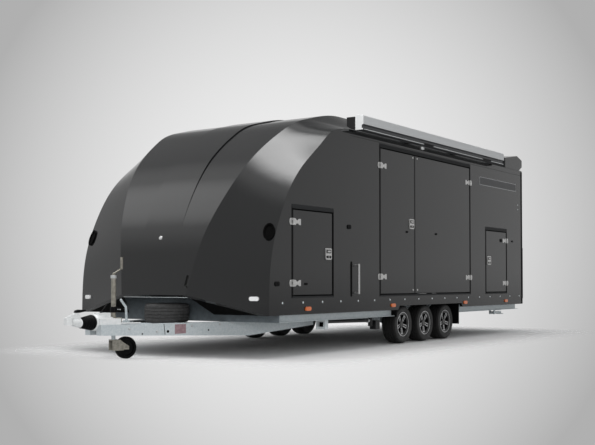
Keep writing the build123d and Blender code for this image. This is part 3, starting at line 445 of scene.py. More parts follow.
def makeTyre(name, centre, axis, body, replaced, treadRubber=tyreTread):
    bm = bmesh.new()
    crown = tyre["radius"] - tyre["blockRise"]
    half = list(tyre["sidewall"])
    for outer, inner in tyre["ribs"]:
        topOuter = crown - tyre["crownCurve"] * outer ** 2
        if outer != tyre["ribs"][0][0]:      # down into the groove before this rib
            half += [(topOuter - tyre["grooveDepth"], outer + tyre["grooveLean"])]
        half += [(topOuter, outer)]
        if inner:
            topInner = crown - tyre["crownCurve"] * inner ** 2
            half += [(topInner, inner), (topInner - tyre["grooveDepth"], inner - tyre["grooveLean"])]
    outline = half + [(r, -offset) for r, offset in reversed(half)]
    radial = axis.orthogonal().normalized()
    addTurned(bm, [centre + radial * r + axis * offset for r, offset in outline], centre, axis, tyre["steps"])
    tidy(bm)
    blocks = []
    for face in bm.faces:
        arm = face.calc_center_median() - centre
        offset = arm.dot(axis)
        r, offset = (arm - axis * offset).length, abs(offset)
        face.material_index = 0 if r > tyre["treadFrom"] else 1
        if offset < tyre["blockEdge"] and r > crown - tyre["crownCurve"] * offset ** 2 - tyre["blockDepth"]:
            blocks.append(face)
    bmesh.ops.inset_individual(bm, faces=blocks, thickness=tyre["blockGap"], depth=tyre["blockRise"],
                               use_even_offset=True)
    finishPiece(name, bm, [treadRubber, tyreSide], body, 40, replaced=(replaced,))


# diamond-cut faces: the lip of the rim, and a loop along each pair of spokes
cutFaces = dict(
    ring=((0.1405, 0.0858), (0.1440, 0.0868), (0.1478, 0.0858), (0.1478, 0.0845), (0.1405, 0.0845)),
    steps=64,
    pairs=5, stations=5,
    inner=0.046, outer=0.1165,      # radii between which a spoke runs
    leanPoint=0.0595, offset=0.012, splay=5.0,      # radius at which its middle lies so far off, and degrees
    width=0.0090, proud=0.0014,
    seenFrom=0.2, depth=0.06,       # the rim is measured from so far out; its depth where it has no surface
)


def makeCutFaces(name, rimName, centre, side, body):
    outward = Vector((0, side, 0))
    bm = bmesh.new()
    addTurned(bm, [centre + Vector((r, 0, 0)) + outward * offset for r, offset in cutFaces["ring"]],
              centre, outward, cutFaces["steps"])
    tidy(bm)
    half, rise = cutFaces["width"] / 2, outward * cutFaces["proud"]
    inner, run = cutFaces["inner"], cutFaces["outer"] - cutFaces["inner"]

    def flatPlace(r, across, turn):      # a point of the rim's face, seen square on
        return Vector((r * math.cos(turn) - across * math.sin(turn), 0,
                       r * math.sin(turn) + across * math.cos(turn)))

    def depthAt(flat):
        place = surfaceAt(rimName, centre + flat + outward * cutFaces["seenFrom"], -outward)[0]
        return (place - centre).dot(outward) if place else cutFaces["depth"]

    for pair in range(cutFaces["pairs"]):
        turn = -math.pi / 2 + math.tau * pair / cutFaces["pairs"]      # the first pair points down
        loops = []
        for hand in (-1, 1):
            rows = []
            for k in range(cutFaces["stations"]):
                r = inner + run * k / (cutFaces["stations"] - 1)
                lean = (r - cutFaces["leanPoint"]) * math.tan(math.radians(cutFaces["splay"]))
                middle = hand * (cutFaces["offset"] + lean)
                depth = outward * depthAt(flatPlace(r, middle, turn))
                rows.append([centre + flatPlace(r, middle + edge, turn) + depth for edge in (-half, half)])
            loops.append(rows)
        for loop in loops:
            rows = [[bm.verts.new(point) for point in row] for row in loop]
            faces = [bm.faces.new((*here, there[1], there[0])) for here, there in zip(rows, rows[1:])]
            for face in faces:
                face.normal_update()
            pullOut(bm, faces, rise)
        # the bridge that closes the pair at the rim
        far, near = loops[0][-1][0], loops[1][-1][1]
        inward = centre - (far + near) / 2
        inward.y = 0
        inward = inward.normalized() * cutFaces["width"]
        addPlate(bm, [far, near, near + inward, far + inward], rise)
    finishPiece(name, tidy(bm), [alloyCut], body, 30, 0.3)


# the spare's tread painted paler than the road tyres' tread: painted light on a tyre that sits in shade under the
# nose
spareTreadLit = newMaterial("spareTreadPaintedLight", "#414141", Roughness=0.75)
tint(spareTreadLit, (25, 3.0), "#393939", "#4a4a4a")

lugs = dict(count=5, circle=0.029, radius=0.0055, height=0.009, y=1.13)
rimMiddle = 1.0825      # the rim's middle plane, from the centreline

for side, sideName in ((1, "left"), (-1, "right")):
    for number in (1, 2, 3):
        wheelBody = f"wheel_{sideName}_{number}"
        centre = jointPlaces[wheelBody + "_turn"]
        makeTyre(f"tyre{sideName.title()}{number}", centre, Vector((0, 1, 0)), wheelBody,
                 f"tyre_{sideName}_{number}")
        rimName = f"rim_{sideName}_{number}"
        dressNode(rimName, sharpAngle=30)
        makeCutFaces(f"cutFaces{sideName.title()}{number}", rimName,
                     Vector((centre.x, centreOffset.y + side * rimMiddle, centre.z)), side, wheelBody)
        bm = bmesh.new()
        for k in range(lugs["count"]):
            turn = math.tau * (k + 0.5) / lugs["count"]
            foot = Vector((centre.x + lugs["circle"] * math.sin(turn), centreOffset.y + side * lugs["y"],
                           centre.z + lugs["circle"] * math.cos(turn)))
            addRod(bm, foot, foot + Vector((0, side * lugs["height"], 0)), lugs["radius"], segments=6)
        finishPiece(f"lugs{sideName.title()}{number}", bm, [zincBolt], wheelBody, 30, 0.6)
spareLow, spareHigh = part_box("spare_tyre")
# the spare's tread takes the paler painted-light rubber
makeTyre("spareTyre", (spareLow + spareHigh) / 2, Vector((0, 0, 1)), "trailer", "spare_tyre", spareTreadLit)
print("wheels made")

# front edge, rear edge, bottom and top of each opening
openings = dict(
    frontHatch=(3.125, 2.370, 0.603, 1.486),
    doors=(1.337, -1.145, 0.598, 2.303),
    rearHatch=(-1.683, -2.426, 0.596, 1.480),
)
doorsMeet = 0.476
leaves = dict(
    hatch_front=openings["frontHatch"], hatch_rear=openings["rearHatch"],
    door_front=(openings["doors"][0], doorsMeet, *openings["doors"][2:]),
    door_rear=(doorsMeet, *openings["doors"][1:]),
)
sealSize = dict(width=0.018, proud=0.002, band=0.026, bandProud=0.0025)
lipSize = dict(gap=0.0055, sunk=0.030, rise=0.016)      # the sealing lip inside each gap
meeting = dict(x=(0.4695, 0.4805), sunk=(0.032, 0.012), z=(0.612, 2.290))


def makeSeals():
    seals, lips, bands, between = bmesh.new(), bmesh.new(), bmesh.new(), bmesh.new()
    w = sealSize["width"]
    for front, rear, bottom, top in openings.values():
        corners = ((front + w, bottom - w), (rear - w, bottom - w), (rear - w, top + w), (front + w, top + w))
        ring = addFrame(seals, [at(x, wallFace + skin, z) for x, z in corners], w)
        for strip in ring:      # the level runs take the grey trim: painted light and shade, as they show softer and greyer than the upright ones
            height = (strip.calc_center_median() - centreOffset).z
            strip.material_index = 1 if height > top or height < bottom else 0
        pullOut(seals, ring, (0, sealSize["proud"], 0))
        # a grey band over each door: a slightly raised strip, greyed as painted shade under the opening's top edge
        low, high = top + w, top + w + sealSize["band"]
        corners = ((front + w, low), (rear - w, low), (rear - w, high), (front + w, high))
        addPlate(bands, [at(x, wallFace + skin, z) for x, z in corners], (0, sealSize["bandProud"], 0))
        corners = ((front, bottom), (rear, bottom), (rear, top), (front, top))
        ring = addFrame(lips, [at(x, wallFace - lipSize["sunk"], z) for x, z in corners], lipSize["gap"])
        pullOut(lips, ring, (0, lipSize["rise"], 0))
    addBoxAt(between, meeting["x"], [wallFace - sunk for sunk in meeting["sunk"]], meeting["z"])
    finishPiece("doorSeals", tidy(seals), [sealRubber, trimGreyAndShade], "trailer", 30, 0.4)
    finishPiece("doorLips", tidy(lips), [sealRubber], "trailer", 30)
    finishPiece("meetingLip", tidy(between), [sealRubber], "door_rear", 30, 1.5)
    finishPiece("doorTopBands", tidy(bands), [trimGreyAndShade], "trailer", 30, 1.5)


makeSeals()

doorDepths = dict(fittings=0.0008, lining=0.035)      # fittings stand so far out, the lining is so far in


def doorFinish(place, normal):
    if place.y > wallFace + doorDepths["fittings"]:
        return 1                         # hinge halves and lock plate
    return 2 if normal.y < -facing and place.y < wallFace - doorDepths["lining"] else 0


for doorName in ("door_front", "door_rear", "hatch_front", "hatch_rear"):
    dressNode(doorName, [stainless, wallLining], doorFinish, bevelMm=0.8)
dressNode("fixed_hinges", bevelMm=0.6)


def addSlab(bm, x, z, size, y=wallFace):      # a flat block: wide, tall, thick and its corners' rounding
    wide, tall, thick, rounding = size
    corners = [at(x + sx * wide / 2, y, z + sz * tall / 2) for sx, sz in ((1, -1), (-1, -1), (-1, 1), (1, 1))]
    before = set(bm.edges)
    addPlate(bm, corners, (0, thick, 0))
    upright = [edge for edge in bm.edges if edge not in before
               and abs((edge.verts[0].co - edge.verts[1].co).y) > thick / 2]
    bmesh.ops.bevel(bm, geom=upright, offset=rounding, affect="EDGES", segments=4, profile=0.5, material=-1)


# the middle of each lock plate, and its parts at their heights over that middle
locks = dict(hatch_front=(2.465, 1.0425), door_front=(0.571, 1.45), hatch_rear=(-1.778, 1.05))
lockSize = dict(
    plate=0.0122,
    recess=(0.094, 0.038, 0.0007, 0.008), recessUp=0.026,
    keyPlate=(0.094, 0.026, 0.0007, 0.006), keyUp=-0.032,
    paddle=(0.06, 0.018, 0.005, 0.004),
    key=(0.009, 0.003),      # radius and length
)
for body, (x, z) in locks.items():
    y = wallFace + lockSize["plate"]
    upper, lower = z + lockSize["recessUp"], z + lockSize["keyUp"]
    bm = bmesh.new()
    addSlab(bm, x, upper, lockSize["recess"], y)
    addSlab(bm, x, lower, lockSize["keyPlate"], y)
    finishPiece(body.replace("_", "") + "LockRecess", tidy(bm), [blackPlastic], body, 30)
    bm = bmesh.new()
    addSlab(bm, x, upper, lockSize["paddle"], y + lockSize["recess"][2])
    keyRadius, keyLength = lockSize["key"]
    addRod(bm, at(x, y, lower), at(x, y + keyLength, lower), keyRadius, segments=24)
    finishPiece(body.replace("_", "") + "LockHandle", tidy(bm), [stainless], body, 30, 0.8)

# rubber catches that hold an open door: a broad receiver or a small pin block, as x, z and size
receiver, pinBlock = (0.078, 0.048, 0.008, 0.0216), (0.046, 0.024, 0.008, 0.0108)
catches = ((3.397, 0.728, receiver), (2.885, 0.727, pinBlock), (2.035, 1.348, receiver),
           (0.682, 1.350, pinBlock), (-0.106, 1.355, pinBlock), (-2.228, 1.348, receiver),
           (-2.648, 1.348, pinBlock))
catchNose = dict(back=0.2, foot=0.4, end=0.3, rise=0.0105)      # shares of the catch's size, and metres


def bodyAt(x, z):      # the leaf or the wall that a fitting stands on
    for body, (front, rear, bottom, top) in leaves.items():
        if rear < x < front and bottom < z < top:
            return body
    return "trailer"


for number, (x, z, size) in enumerate(catches):
    bm = bmesh.new()
    addSlab(bm, x, z, size)
    spot = at(x - size[0] * catchNose["back"], wallFace, z)
    addRod(bm, spot, spot + Vector((0, catchNose["rise"], 0)), size[1] * catchNose["foot"],
           size[1] * catchNose["end"], 20)
    finishPiece(f"catch{number + 1}", bm, [blackPlastic], bodyAt(x, z), 35, 0.8)


def addScrew(bm, x, z, size, segments, side=1):      # a domed head on the wall: radius, end radius and rise
    foot = at(x, side * wallFace, z)
    addRod(bm, foot, foot + Vector((0, side * size[2], 0)), size[0], size[1], segments)


# domed caps along the floor's edge, two small heads near the rear, and fixings by the doors' meeting edges
sillScrews = dict(first=3.301, pitch=0.366, count=18, z=0.539, size=(0.0115, 0.0115 * 0.55, 0.004))
rearScrews = dict(x=-2.881, z=(1.905, 1.835), size=(0.009, 0.006, 0.003))
leafScrews = dict(x=dict(door_front=0.524, door_rear=0.410), z=(2.262, 0.650), size=(0.0135, 0.009, 0.005))
bm = bmesh.new()
for k in range(sillScrews["count"]):
    x = sillScrews["first"] - k * sillScrews["pitch"]
    for side in (1, -1):
        addScrew(bm, x, sillScrews["z"], sillScrews["size"], 12, side)
for z in rearScrews["z"]:
    addScrew(bm, rearScrews["x"], z, rearScrews["size"], 12)
finishPiece("sillScrews", bm, [brightZinc], "trailer", 50)
for body, x in leafScrews["x"].items():
    bm = bmesh.new()
    for z in leafScrews["z"]:
        addScrew(bm, x, z, leafScrews["size"], 16)
    finishPiece(body.replace("_", "") + "Screws", bm, [stainless], body, 40, 0.5)
print("doors dressed")

signFace = newMaterial("anodisedSignFace", "#3a3b3d", Roughness=0.4, Metallic=0.2)      # grey anodised sheet
roughen(signFace, (3, 1.0, (0.02, 1, 1)), 0.36, 0.46)
signPlate = dict(x=-2.1395, z=2.155, rim=(1.331, 0.11, 0.0022, 0.012), face=(1.321, 0.10, 0.0006, 0.0096))
bm = bmesh.new()
addSlab(bm, signPlate["x"], signPlate["z"], signPlate["rim"])
finishPiece("signRim", tidy(bm), [anodised], "trailer", 30, 0.5)
bm = bmesh.new()
addSlab(bm, signPlate["x"], signPlate["z"], signPlate["face"], wallFace + signPlate["rim"][2])
finishPiece("signPanel", tidy(bm), [signFace], "trailer", 30)

grabStrip = dict(x=1.985, z=0.7795, size=(0.030, 0.385, 0.003, 0.008))
trimLine = dict(x=(2.0, -3.0), z=(2.354, 2.358), rise=0.0008)
cornerSeal = dict(x=(-3.0, -3.058), z=(0.425, 2.41), rise=0.0012)


def addWallStrip(bm, strip, side=1):
    (front, rear), (low, high) = strip["x"], strip["z"]
    corners = ((front, low), (rear, low), (rear, high), (front, high))
    addPlate(bm, [at(x, side * wallFace, z) for x, z in corners], (0, side * strip["rise"], 0))


bm = bmesh.new()
addSlab(bm, **grabStrip)
finishPiece("grabStrip", tidy(bm), [sealRubber], "trailer", 30, 0.8)
bm = bmesh.new()
addWallStrip(bm, trimLine)
finishPiece("wallTrimLine", tidy(bm), [trimGreyAndShade], "trailer", 30)
for side, sideName in ((1, "Left"), (-1, "Right")):
    bm = bmesh.new()
    addWallStrip(bm, cornerSeal, side)
    finishPiece("cornerSeal" + sideName, tidy(bm), [sealRubber], "trailer", 30, 0.4)

# a chromed button on the nose: its ring and its dome, each as radius, end radius, start and end
noseFitting = dict(z=1.199, seenFrom=5.0,
                   ring=(0.022, 0.0187, -0.002, 0.006), dome=(0.016, 0.0096, 0.0, 0.012))
spot, normal = surfaceAt("nose_middle", at(noseFitting["seenFrom"], 0, noseFitting["z"]), (-1, 0, 0))
bm = bmesh.new()
for radius, endRadius, start, end in (noseFitting["ring"], noseFitting["dome"]):
    addRod(bm, spot + normal * start, spot + normal * end, radius, endRadius, 32)
finishPiece("noseFitting", bm, [chromed], "trailer", 35, 1.2)

markerLook = dict(frontFrom=3.3, baseRise=0.003)      # the clear ones are in front; their bases are black
dressNode("marker_lamps", [clearLens, blackPlastic], lambda p, n: 1 if p.x > markerLook["frontFrom"]
          else (2 if abs(p.y) < wallFace + markerLook["baseRise"] else 0), bevelMm=1.5)

# rear lamp column: a housing in the body colour, then its lenses from the top down
rearLamp = dict(
    housing=((-3.0795, -3.060), (1.165, 1.275), (0.500, 1.263)),
    lensX=(-3.085, -3.078), lensY=(1.172, 1.268),
    lenses=((1.02, 1.245, redLens), (0.86, 1.01, amberLens), (0.74, 0.85, clearLens), (0.52, 0.73, redLens)),
)
for side, sideName in ((1, "Left"), (-1, "Right")):
    bm = bmesh.new()
    addBoxAt(bm, *rearLamp["housing"], side)
    finishPiece("rearLampHousing" + sideName, tidy(bm), [bodyPaint], "trailer", 30, 4,
                ("rear_lamps",) if side == 1 else ())
    for number, (low, high, lens) in enumerate(rearLamp["lenses"]):
        bm = bmesh.new()
        addBoxAt(bm, rearLamp["lensX"], rearLamp["lensY"], (low, high), side)
        finishPiece(f"rearLens{sideName}{number + 1}", tidy(bm), [lens], "trailer", 30, 2)
ventShadeBand = (1.239, 0.06)      # the vents' middle band, painted near-black as the shade in their openings: the height of its middle and half its height
dressNode("vents", [blackAndShade], lambda p, n: 1 if abs(p.z - ventShadeBand[0]) < ventShadeBand[1] else 0)
print("trim made")

awningLook = dict(
    rail=2.452, under=0.7,      # the dark rail begins here, and so steep a face belongs to it
    bars=((1.94, 0.50), (0.24, -1.27), (-1.55, -1.98)), barY=1.4135, barZ=2.4225, barRadius=0.005,
    joints=((0.24, 0.50), (-1.55, -1.27)), jointY=(1.392, 1.4195), jointZ=(2.4155, 2.4385),
)


def awningFinish(place, normal):
    if abs(normal.x) > facing:
        return 2
    return 1 if place.z < awningLook["rail"] or normal.z < -awningLook["under"] else 0


dressNode("awning_cassette", [darkRail, whiteCap], awningFinish, bevelMm=2.5)
bars, joints = bmesh.new(), bmesh.new()
for ends in awningLook["bars"]:
    start, end = [at(x, awningLook["barY"], awningLook["barZ"]) for x in ends]
    addRod(bars, start, end, awningLook["barRadius"], segments=12)
for joint in awningLook["joints"]:
    addBoxAt(joints, joint, awningLook["jointY"], awningLook["jointZ"])
finishPiece("awningBars", tidy(bars), [anodised], "trailer", 35)
finishPiece("awningJoints", tidy(joints), [blackPlastic], "trailer", 30, 3)

# the outer faces of the drawbar rails: front end, half the width there, and slope
railFront, railHalf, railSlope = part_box("drawbar")[1].x - centreOffset.x, 0.106, 0.3573


def onRail(x, z, side, out=0.0):
    outward = Vector((railSlope, 1, 0)).normalized() * out
    spot = Vector((x, railHalf + railSlope * (railFront - x), z)) + outward
    return at(spot.x, side * spot.y, spot.z)


# fittings on the rails: places as x and z; a disc is a radius and how far out it starts and ends
railFittings = dict(
    bolts=((4.330, 0.297), (4.051, 0.264), (3.682, 0.308), (3.372, 0.319)),
    washer=(0.014, -0.001, 0.002), head=(0.0095, 0.002, 0.010),
    holes=((3.937, 0.261, 0.014), (3.50, 0.262, 0.009), (4.20, 0.245, 0.008)), holeSpan=(-0.001, 0.0007),
    slot=((3.982, 0.338), (3.976, 0.338), (3.964, 0.232), (3.970, 0.232)), slotRise=0.0006,
    plate=((3.864, 0.328), (3.746, 0.330), (3.746, 0.238), (3.864, 0.234)), plateRise=0.0012,
    film=0.0002,      # how far off the rail a flat layer starts
)


def addRailDisc(bm, x, z, side, disc, segments):
    radius, low, high = disc
    addRod(bm, onRail(x, z, side, low), onRail(x, z, side, high), radius, segments=segments)


def addRailPlate(bm, outline, side, rise):
    addPlate(bm, [onRail(x, z, side, railFittings["film"]) for x, z in outline],
             onRail(0, 0, side, rise) - onRail(0, 0, side))


bm, dark = bmesh.new(), bmesh.new()
for side in (1, -1):
    for x, z in railFittings["bolts"]:
        addRailDisc(bm, x, z, side, railFittings["washer"], 24)
        addRailDisc(bm, x, z, side, railFittings["head"], 6)
    # holes in the rails: near-black discs as painted shade inside them
    for x, z, radius in railFittings["holes"]:
        addRailDisc(dark, x, z, side, (radius, *railFittings["holeSpan"]), 24)
    addRailPlate(dark, railFittings["slot"], side, railFittings["slotRise"])
finishPiece("drawbarBolts", tidy(bm), [zincBolt], "trailer", 30, 0.6)
finishPiece("drawbarHoles", tidy(dark), [blackAndShade], "trailer", 30)

# blank rating plate, a faded maroon foil
platePaint = newMaterial("maroonFoilPlate", "#8f7478", Roughness=0.45)
tint(platePaint, 20, "#866a6f", "#9b8286")
bm = bmesh.new()
addRailPlate(bm, railFittings["plate"], 1, railFittings["plateRise"])
finishPiece("ratingPlate", tidy(bm), [platePaint], "trailer", 30, 0.3)

# jack receiver: a square tube's mouth on a bracket, with the tube running back under the sill
jackMouth = dict(box=((2.27, 2.33), (1.035, 1.155), (0.238, 0.342)), wall=0.026, depth=0.030)
jackTube = dict(
    y=1.10,
    # a rod is x and z of both ends, its radius and its sides
    tube=((2.27, 0.318), (1.30, 0.300), 0.019, 20), post=((1.27, 0.235), (1.27, 0.335), 0.026, 20),
    spindle=((1.30, 0.300), (1.16, 0.27), 0.015, 16), collar=((1.345, 0.301), (1.315, 0.3005), 0.024, 24),
    foot=((1.11, 1.21), (1.06, 1.14), (0.195, 0.300)),
)


def addJackRod(bm, rod, side):
    start, end = [at(x, side * jackTube["y"], z) for x, z in rod[:2]]
    addRod(bm, start, end, rod[2], segments=rod[3])


for side, sideName in ((1, "Left"), (-1, "Right")):
    bm = bmesh.new()
    addBoxAt(bm, *jackMouth["box"], side)
    tidy(bm)
    # the mouth's recessed inner face near-black: painted shade inside the tube
    frontFace = [face for face in bm.faces if face.normal.x > facing]
    bmesh.ops.inset_individual(bm, faces=frontFace, thickness=jackMouth["wall"], use_even_offset=True)
    bmesh.ops.inset_individual(bm, faces=frontFace, thickness=skin, depth=-jackMouth["depth"])
    for face in frontFace:
        face.material_index = 1
    finishPiece("jackReceiver" + sideName, bm, [brightZinc, blackAndShade], "trailer", 30, 2)
    bm = bmesh.new()
    for part in ("tube", "post", "spindle"):
        addJackRod(bm, jackTube[part], side)
    addBoxAt(bm, *jackTube["foot"], side)
    finishPiece("jackTube" + sideName, tidy(bm), [blackSteel], "trailer", 30, 1.5)
    bm = bmesh.new()
    addJackRod(bm, jackTube["collar"], side)
    finishPiece("jackTubeCollar" + sideName, tidy(bm), [zincBolt], "trailer", 30, 1)

awningFoot = dict(x=0.27, z=2.405, size=(0.055, 0.030, 0.014, 0.006))
bm = bmesh.new()
addSlab(bm, **awningFoot)
finishPiece("awningFoot", tidy(bm), [whiteCap], "trailer", 30, 1)

# jockey wheel clamp: a black collar and its tommy bar with a knob, a cap ring at the top and a cross pin
mastX = jointPlaces["jockey_castor"].x - centreOffset.x
jockeyLook = dict(
    collar=(0.452, 0.508, 0.0235, 0.033), cap=(0.782, 0.812, 0.0235, 0.030),      # edges and radii
    ringSteps=36,
    bar=((4.575, 0.03, 0.415), (4.460, 0.03, 0.532)), barRadius=0.005,
    knob=((4.468, 0.03, 0.524), (4.450, 0.03, 0.542)), knobRadii=(0.009, 0.007),
    pinBack=0.045, pinHalf=0.050, pinZ=0.480, pinRadius=0.0045,
)


def addCollar(bm, low, high, inner, outer):      # an upright ring round the mast
    outline = [at(mastX + r, 0, z) for r, z in ((inner, low), (outer, low), (outer, high), (inner, high))]
    addTurned(bm, outline, at(mastX, 0, 0), (0, 0, 1), jockeyLook["ringSteps"])


bm = bmesh.new()
addCollar(bm, *jockeyLook["collar"])
addRod(bm, *[at(*end) for end in jockeyLook["bar"]], jockeyLook["barRadius"], segments=12)
addRod(bm, *[at(*end) for end in jockeyLook["knob"]], *jockeyLook["knobRadii"], 16)
finishPiece("jockeyClampCollar", tidy(bm), [blackPlastic], "trailer", 30, 1.5)
bm = bmesh.new()
pinX, pinY = mastX - jockeyLook["pinBack"], jockeyLook["pinHalf"]
addRod(bm, *[at(pinX, y, jockeyLook["pinZ"]) for y in (-pinY, pinY)], jockeyLook["pinRadius"], segments=12)
addCollar(bm, *jockeyLook["cap"])
finishPiece("jockeyMastFittings", tidy(bm), [zincBolt], "trailer", 30, 1)

# fittings on the ramp: places as y and z; half sizes across and up; how far they stand out
latchLook = dict(place=(0.985, 1.25), base=(0.028, 0.095), thick=0.004, bar=(0.0075, 0.078, 0.015),
                 eyes=(0.007, 0.06, 0.003, 0.016))
reflectorLook = dict(place=(0.80, 0.66), half=(0.078, 0.067), rise=0.005)
numberPlate = dict(place=(0.0, 0.80), half=(0.26, 0.056), thick=0.004)


def ontoRamp(y, z):
    return surfaceAt("ramp_door", at(-4.5, y, z), (1, 0, 0))[0]


def addRampPlate(bm, foot, half, thick):
    addBox(bm, foot + Vector((-thick, -half[0], -half[1])), foot + Vector((0, half[0], half[1])))


bm, reflectors = bmesh.new(), bmesh.new()
barRadius, barHalf, barOut = latchLook["bar"]
eyeRadius, eyeUp, eyeFrom, eyeTo = latchLook["eyes"]
for side in (1, -1):
    foot = ontoRamp(side * latchLook["place"][0], latchLook["place"][1])
    addRampPlate(bm, foot, latchLook["base"], latchLook["thick"])
    for dz in (eyeUp, -eyeUp):
        addRod(bm, *[foot + Vector((-out, 0, dz)) for out in (eyeFrom, eyeTo)], eyeRadius, segments=16)
    addRod(bm, *[foot + Vector((-barOut, 0, dz)) for dz in (barHalf, -barHalf)], barRadius, segments=20)
    foot = ontoRamp(side * reflectorLook["place"][0], reflectorLook["place"][1])
    wide, tall = reflectorLook["half"]
    addPlate(reflectors, [foot + Vector((0, y, z)) for y, z in ((-wide, -tall), (wide, -tall), (0, tall))],
             (-reflectorLook["rise"], 0, 0))
finishPiece("rampLatches", tidy(bm), [stainless], "ramp_door", 30, 1)
finishPiece("rampReflectors", tidy(reflectors), [redLens], "ramp_door", 30, 1.5)
bm = bmesh.new()
addRampPlate(bm, ontoRamp(*numberPlate["place"]), numberPlate["half"], numberPlate["thick"])
finishPiece("numberPlateBlank", tidy(bm), [whiteCap], "ramp_door", 30, 1.5)
print("fittings made")

stageSetup = dict(
    size=60.0,
    solid=0.0, gone=1.1,      # metres from the trailer's outline where the floor starts to thin out and ends
)


def makeFloor():
    mesh = bpy.data.meshes.new("studioFloor")
    bm = bmesh.new()
    bmesh.ops.create_grid(bm, x_segments=1, y_segments=1, size=stageSetup["size"] / 2)
    bm.to_mesh(mesh)
    bm.free()
    floor = bpy.data.objects.new("studioFloor", mesh)
    bpy.context.scene.collection.objects.link(floor)
    material = newMaterial("studioFloor", "#e4e4e4", Roughness=0.9)
    mesh.materials.append(material)
    tree = material.node_tree
    place = addNode(tree, "ShaderNodeTexCoord").outputs["Object"]
    low, high = cadBox[0], Vector((leftWall[1].x, cadBox[1].y, 0))      # the drawbar stands clear of it
    middle, half = (low + high) / 2, (high - low) / 2
    offset = place
    for operation, second in (("SUBTRACT", (middle.x, middle.y, 0)), ("ABSOLUTE", None),
                              ("SUBTRACT", (half.x, half.y, 0)), ("MAXIMUM", (0, 0, 0))):
        inputs = {0: offset, 1: second} if second else {0: offset}
        offset = addNode(tree, "ShaderNodeVectorMath", {"operation": operation}, inputs).outputs[0]
    distance = addNode(tree, "ShaderNodeVectorMath", {"operation": "LENGTH"}, {0: offset}).outputs["Value"]
    fade = addNode(tree, "ShaderNodeMapRange", {"interpolation_type": "SMOOTHSTEP"},
                   {"Value": distance, "From Min": stageSetup["solid"], "From Max": stageSetup["gone"]})
    clear = addNode(tree, "ShaderNodeBsdfTransparent")
    mix = addNode(tree, "ShaderNodeMixShader", inputs={
        0: fade.outputs[0], 1: tree.nodes["Principled BSDF"].outputs[0], 2: clear.outputs[0]})
    tree.links.new(mix.outputs[0], tree.nodes["Material Output"].inputs["Surface"])


# light thrown back from a wall high up, ahead and to the right: a wide soft part and a brighter core
frontGlow = dict(towards=(0.343, -0.646, 0.682), spread=(28.0, 13.0), level=(0.5, 0.8))

# the long softbox overhead, as slopes towards the front and the rear where it is full and where it ends,
# and how steep a line of sight meets its edge and its full brightness
overheadGlow = dict(forward=(0.10, 0.40), backward=(-0.07, -0.3), steep=(0.83, 0.96), level=6.6)

# the backdrop: a soft light patch round the line of sight, repeated at an angle, and paler towards the ground
backdrop = dict(dark="#b0b0b0", light="#f0f0f0", above=0.03, size=0.11, apart=45.0,
                ground=(-0.17, -0.34, 0.0, 0.75))

# what gloss shows of the room: each ramp is where it starts and ends, and the levels there
mirroredRoom = dict(horizon=(-0.05, 0.02, 0.36, 0.6), ahead=(-0.6, 0.3, 0.24, 0.62),
                    upper=(0.1, 0.42, 0.0, 1.0), ceiling=(0.8, 0.93, 0.0, 0.7))
roomLight = dict(tone="#f4f5f6", level=0.62)


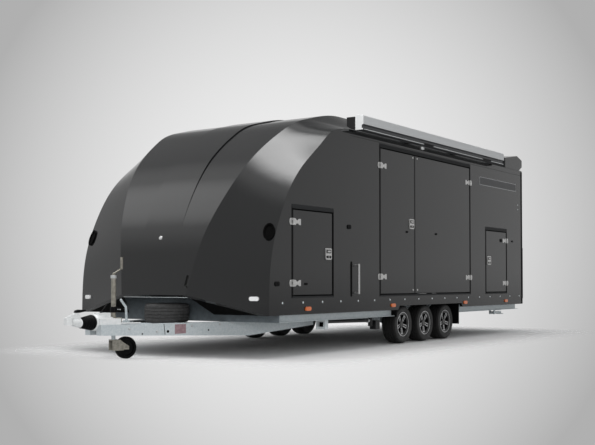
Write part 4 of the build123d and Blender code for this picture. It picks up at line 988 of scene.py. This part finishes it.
def makeWorld():
    world = bpy.data.worlds.new("studioWorld")
    bpy.context.scene.world = world
    world.use_nodes = True
    tree = world.node_tree
    tree.nodes.clear()
    direction = addNode(tree, "ShaderNodeTexCoord").outputs["Generated"]
    parts = addNode(tree, "ShaderNodeSeparateXYZ", inputs={"Vector": direction}).outputs

    def ramp(value, start, end, low, high):
        return addNode(tree, "ShaderNodeMapRange", {"interpolation_type": "SMOOTHSTEP"},
                       {"Value": value, "From Min": start, "From Max": end,
                        "To Min": low, "To Max": high}).outputs[0]

    def maths(operation, first, second, third=0.0):
        return addNode(tree, "ShaderNodeMath", {"operation": operation},
                       {0: first, 1: second, 2: third}).outputs[0]

    # what the camera sees
    turn = maths("SUBTRACT", maths("ARCTAN2", parts["Y"], parts["X"]),
                 math.atan2(viewDirection.y, viewDirection.x))
    halfStep = math.radians(backdrop["apart"] / 2)
    aside = maths("WRAP", turn, halfStep, -halfStep)
    above = maths("SUBTRACT", parts["Z"], viewDirection.z + backdrop["above"])
    away = maths("ADD", maths("MULTIPLY", aside, aside), maths("MULTIPLY", above, above))
    patch = addNode(tree, "ShaderNodeMapRange", inputs={"Value": away, "From Min": backdrop["size"],
                                                        "From Max": 0.0}).outputs[0]
    glow = maths("MAXIMUM", patch, ramp(parts["Z"], *backdrop["ground"]))
    shade = addNode(tree, "ShaderNodeMix", {"data_type": "RGBA"}, {0: glow})
    shade.inputs[6].default_value = colour(backdrop["dark"])
    shade.inputs[7].default_value = colour(backdrop["light"])
    seen = addNode(tree, "ShaderNodeBackground", inputs={"Color": shade.outputs[2], "Strength": 1.0})
    lit = addNode(tree, "ShaderNodeBackground", inputs={"Color": colour(roomLight["tone"]),
                                                        "Strength": roomLight["level"]})

    # what gloss shows: a pale band at the horizon, the darker studio above it, brighter ahead
    glowDirection = Vector(frontGlow["towards"]).normalized()
    nearGlow = addNode(tree, "ShaderNodeVectorMath", {"operation": "DOT_PRODUCT"},
                       {0: direction, 1: glowDirection}).outputs["Value"]
    wideGlow, coreGlow = [ramp(nearGlow, math.cos(math.radians(spreadAngle)), 1.0, 0.0, glowTop)
                          for spreadAngle, glowTop in zip(frontGlow["spread"], frontGlow["level"])]
    forward, backward, steep = [overheadGlow[k] for k in ("forward", "backward", "steep")]
    lengthwise = maths("MULTIPLY", ramp(parts["X"], *forward[::-1], 0.0, overheadGlow["level"]),
                       ramp(parts["X"], *backward[::-1], 0.0, 1.0))
    overhead = maths("MULTIPLY", lengthwise, ramp(parts["Z"], *steep, 0.0, 1.0))
    glowLevel = maths("ADD", maths("ADD", wideGlow, coreGlow), overhead)
    horizon, ahead, upper, ceiling = [ramp(parts[axis], *mirroredRoom[k]) for axis, k in
                                      (("Z", "horizon"), ("X", "ahead"), ("Z", "upper"), ("Z", "ceiling"))]
    level = maths("ADD", maths("MULTIPLY", maths("SUBTRACT", 1.0, upper), horizon),
                  maths("ADD", maths("MULTIPLY", upper, ahead), maths("ADD", ceiling, glowLevel)))
    mirrored = addNode(tree, "ShaderNodeBackground", inputs={"Color": colour("#ffffff"), "Strength": level})
    path = addNode(tree, "ShaderNodeLightPath").outputs
    notCamera = addNode(tree, "ShaderNodeMixShader", inputs={0: path["Is Glossy Ray"], 1: lit.outputs[0],
                                                             2: mirrored.outputs[0]})
    mix = addNode(tree, "ShaderNodeMixShader", inputs={0: path["Is Camera Ray"], 1: notCamera.outputs[0],
                                                      2: seen.outputs[0]})
    addNode(tree, "ShaderNodeOutputWorld", inputs={"Surface": mix.outputs[0]})


lamps = dict(
    overheadBox=dict(place=(2.15, 0.4, 6.0), aim=(2.15, 0.4, 0), size=(1.8, 3.4), radiance=6.4),
    frontFill=dict(place=(9.6, 5.6, 1.7), aim=(2.0, 0.5, 0.5), size=(4.5, 2.6), radiance=6.0),
    ceilingFill=dict(place=(0.4, 0.6, 7.0), aim=(0.4, 0.6, 0), size=(9.0, 5.0), radiance=0.6),
)


def makeLamps():
    for name, lamp in lamps.items():
        data = bpy.data.lights.new(name, "AREA")
        data.shape = "RECTANGLE"
        data.size, data.size_y = lamp["size"]
        data.energy = lamp["radiance"] * math.pi * data.size * data.size_y
        light = bpy.data.objects.new(name, data)
        light.location = lamp["place"]
        aim = Vector(lamp["aim"]) - Vector(lamp["place"])
        light.rotation_euler = aim.to_track_quat("-Z", "Y").to_euler()
        light.visible_glossy = light.visible_camera = False
        bpy.context.scene.collection.objects.link(light)


makeFloor()
makeWorld()
makeLamps()
bpy.context.scene.view_settings.view_transform = "Standard"
print("stage ready")

bpy.context.view_layer.update()
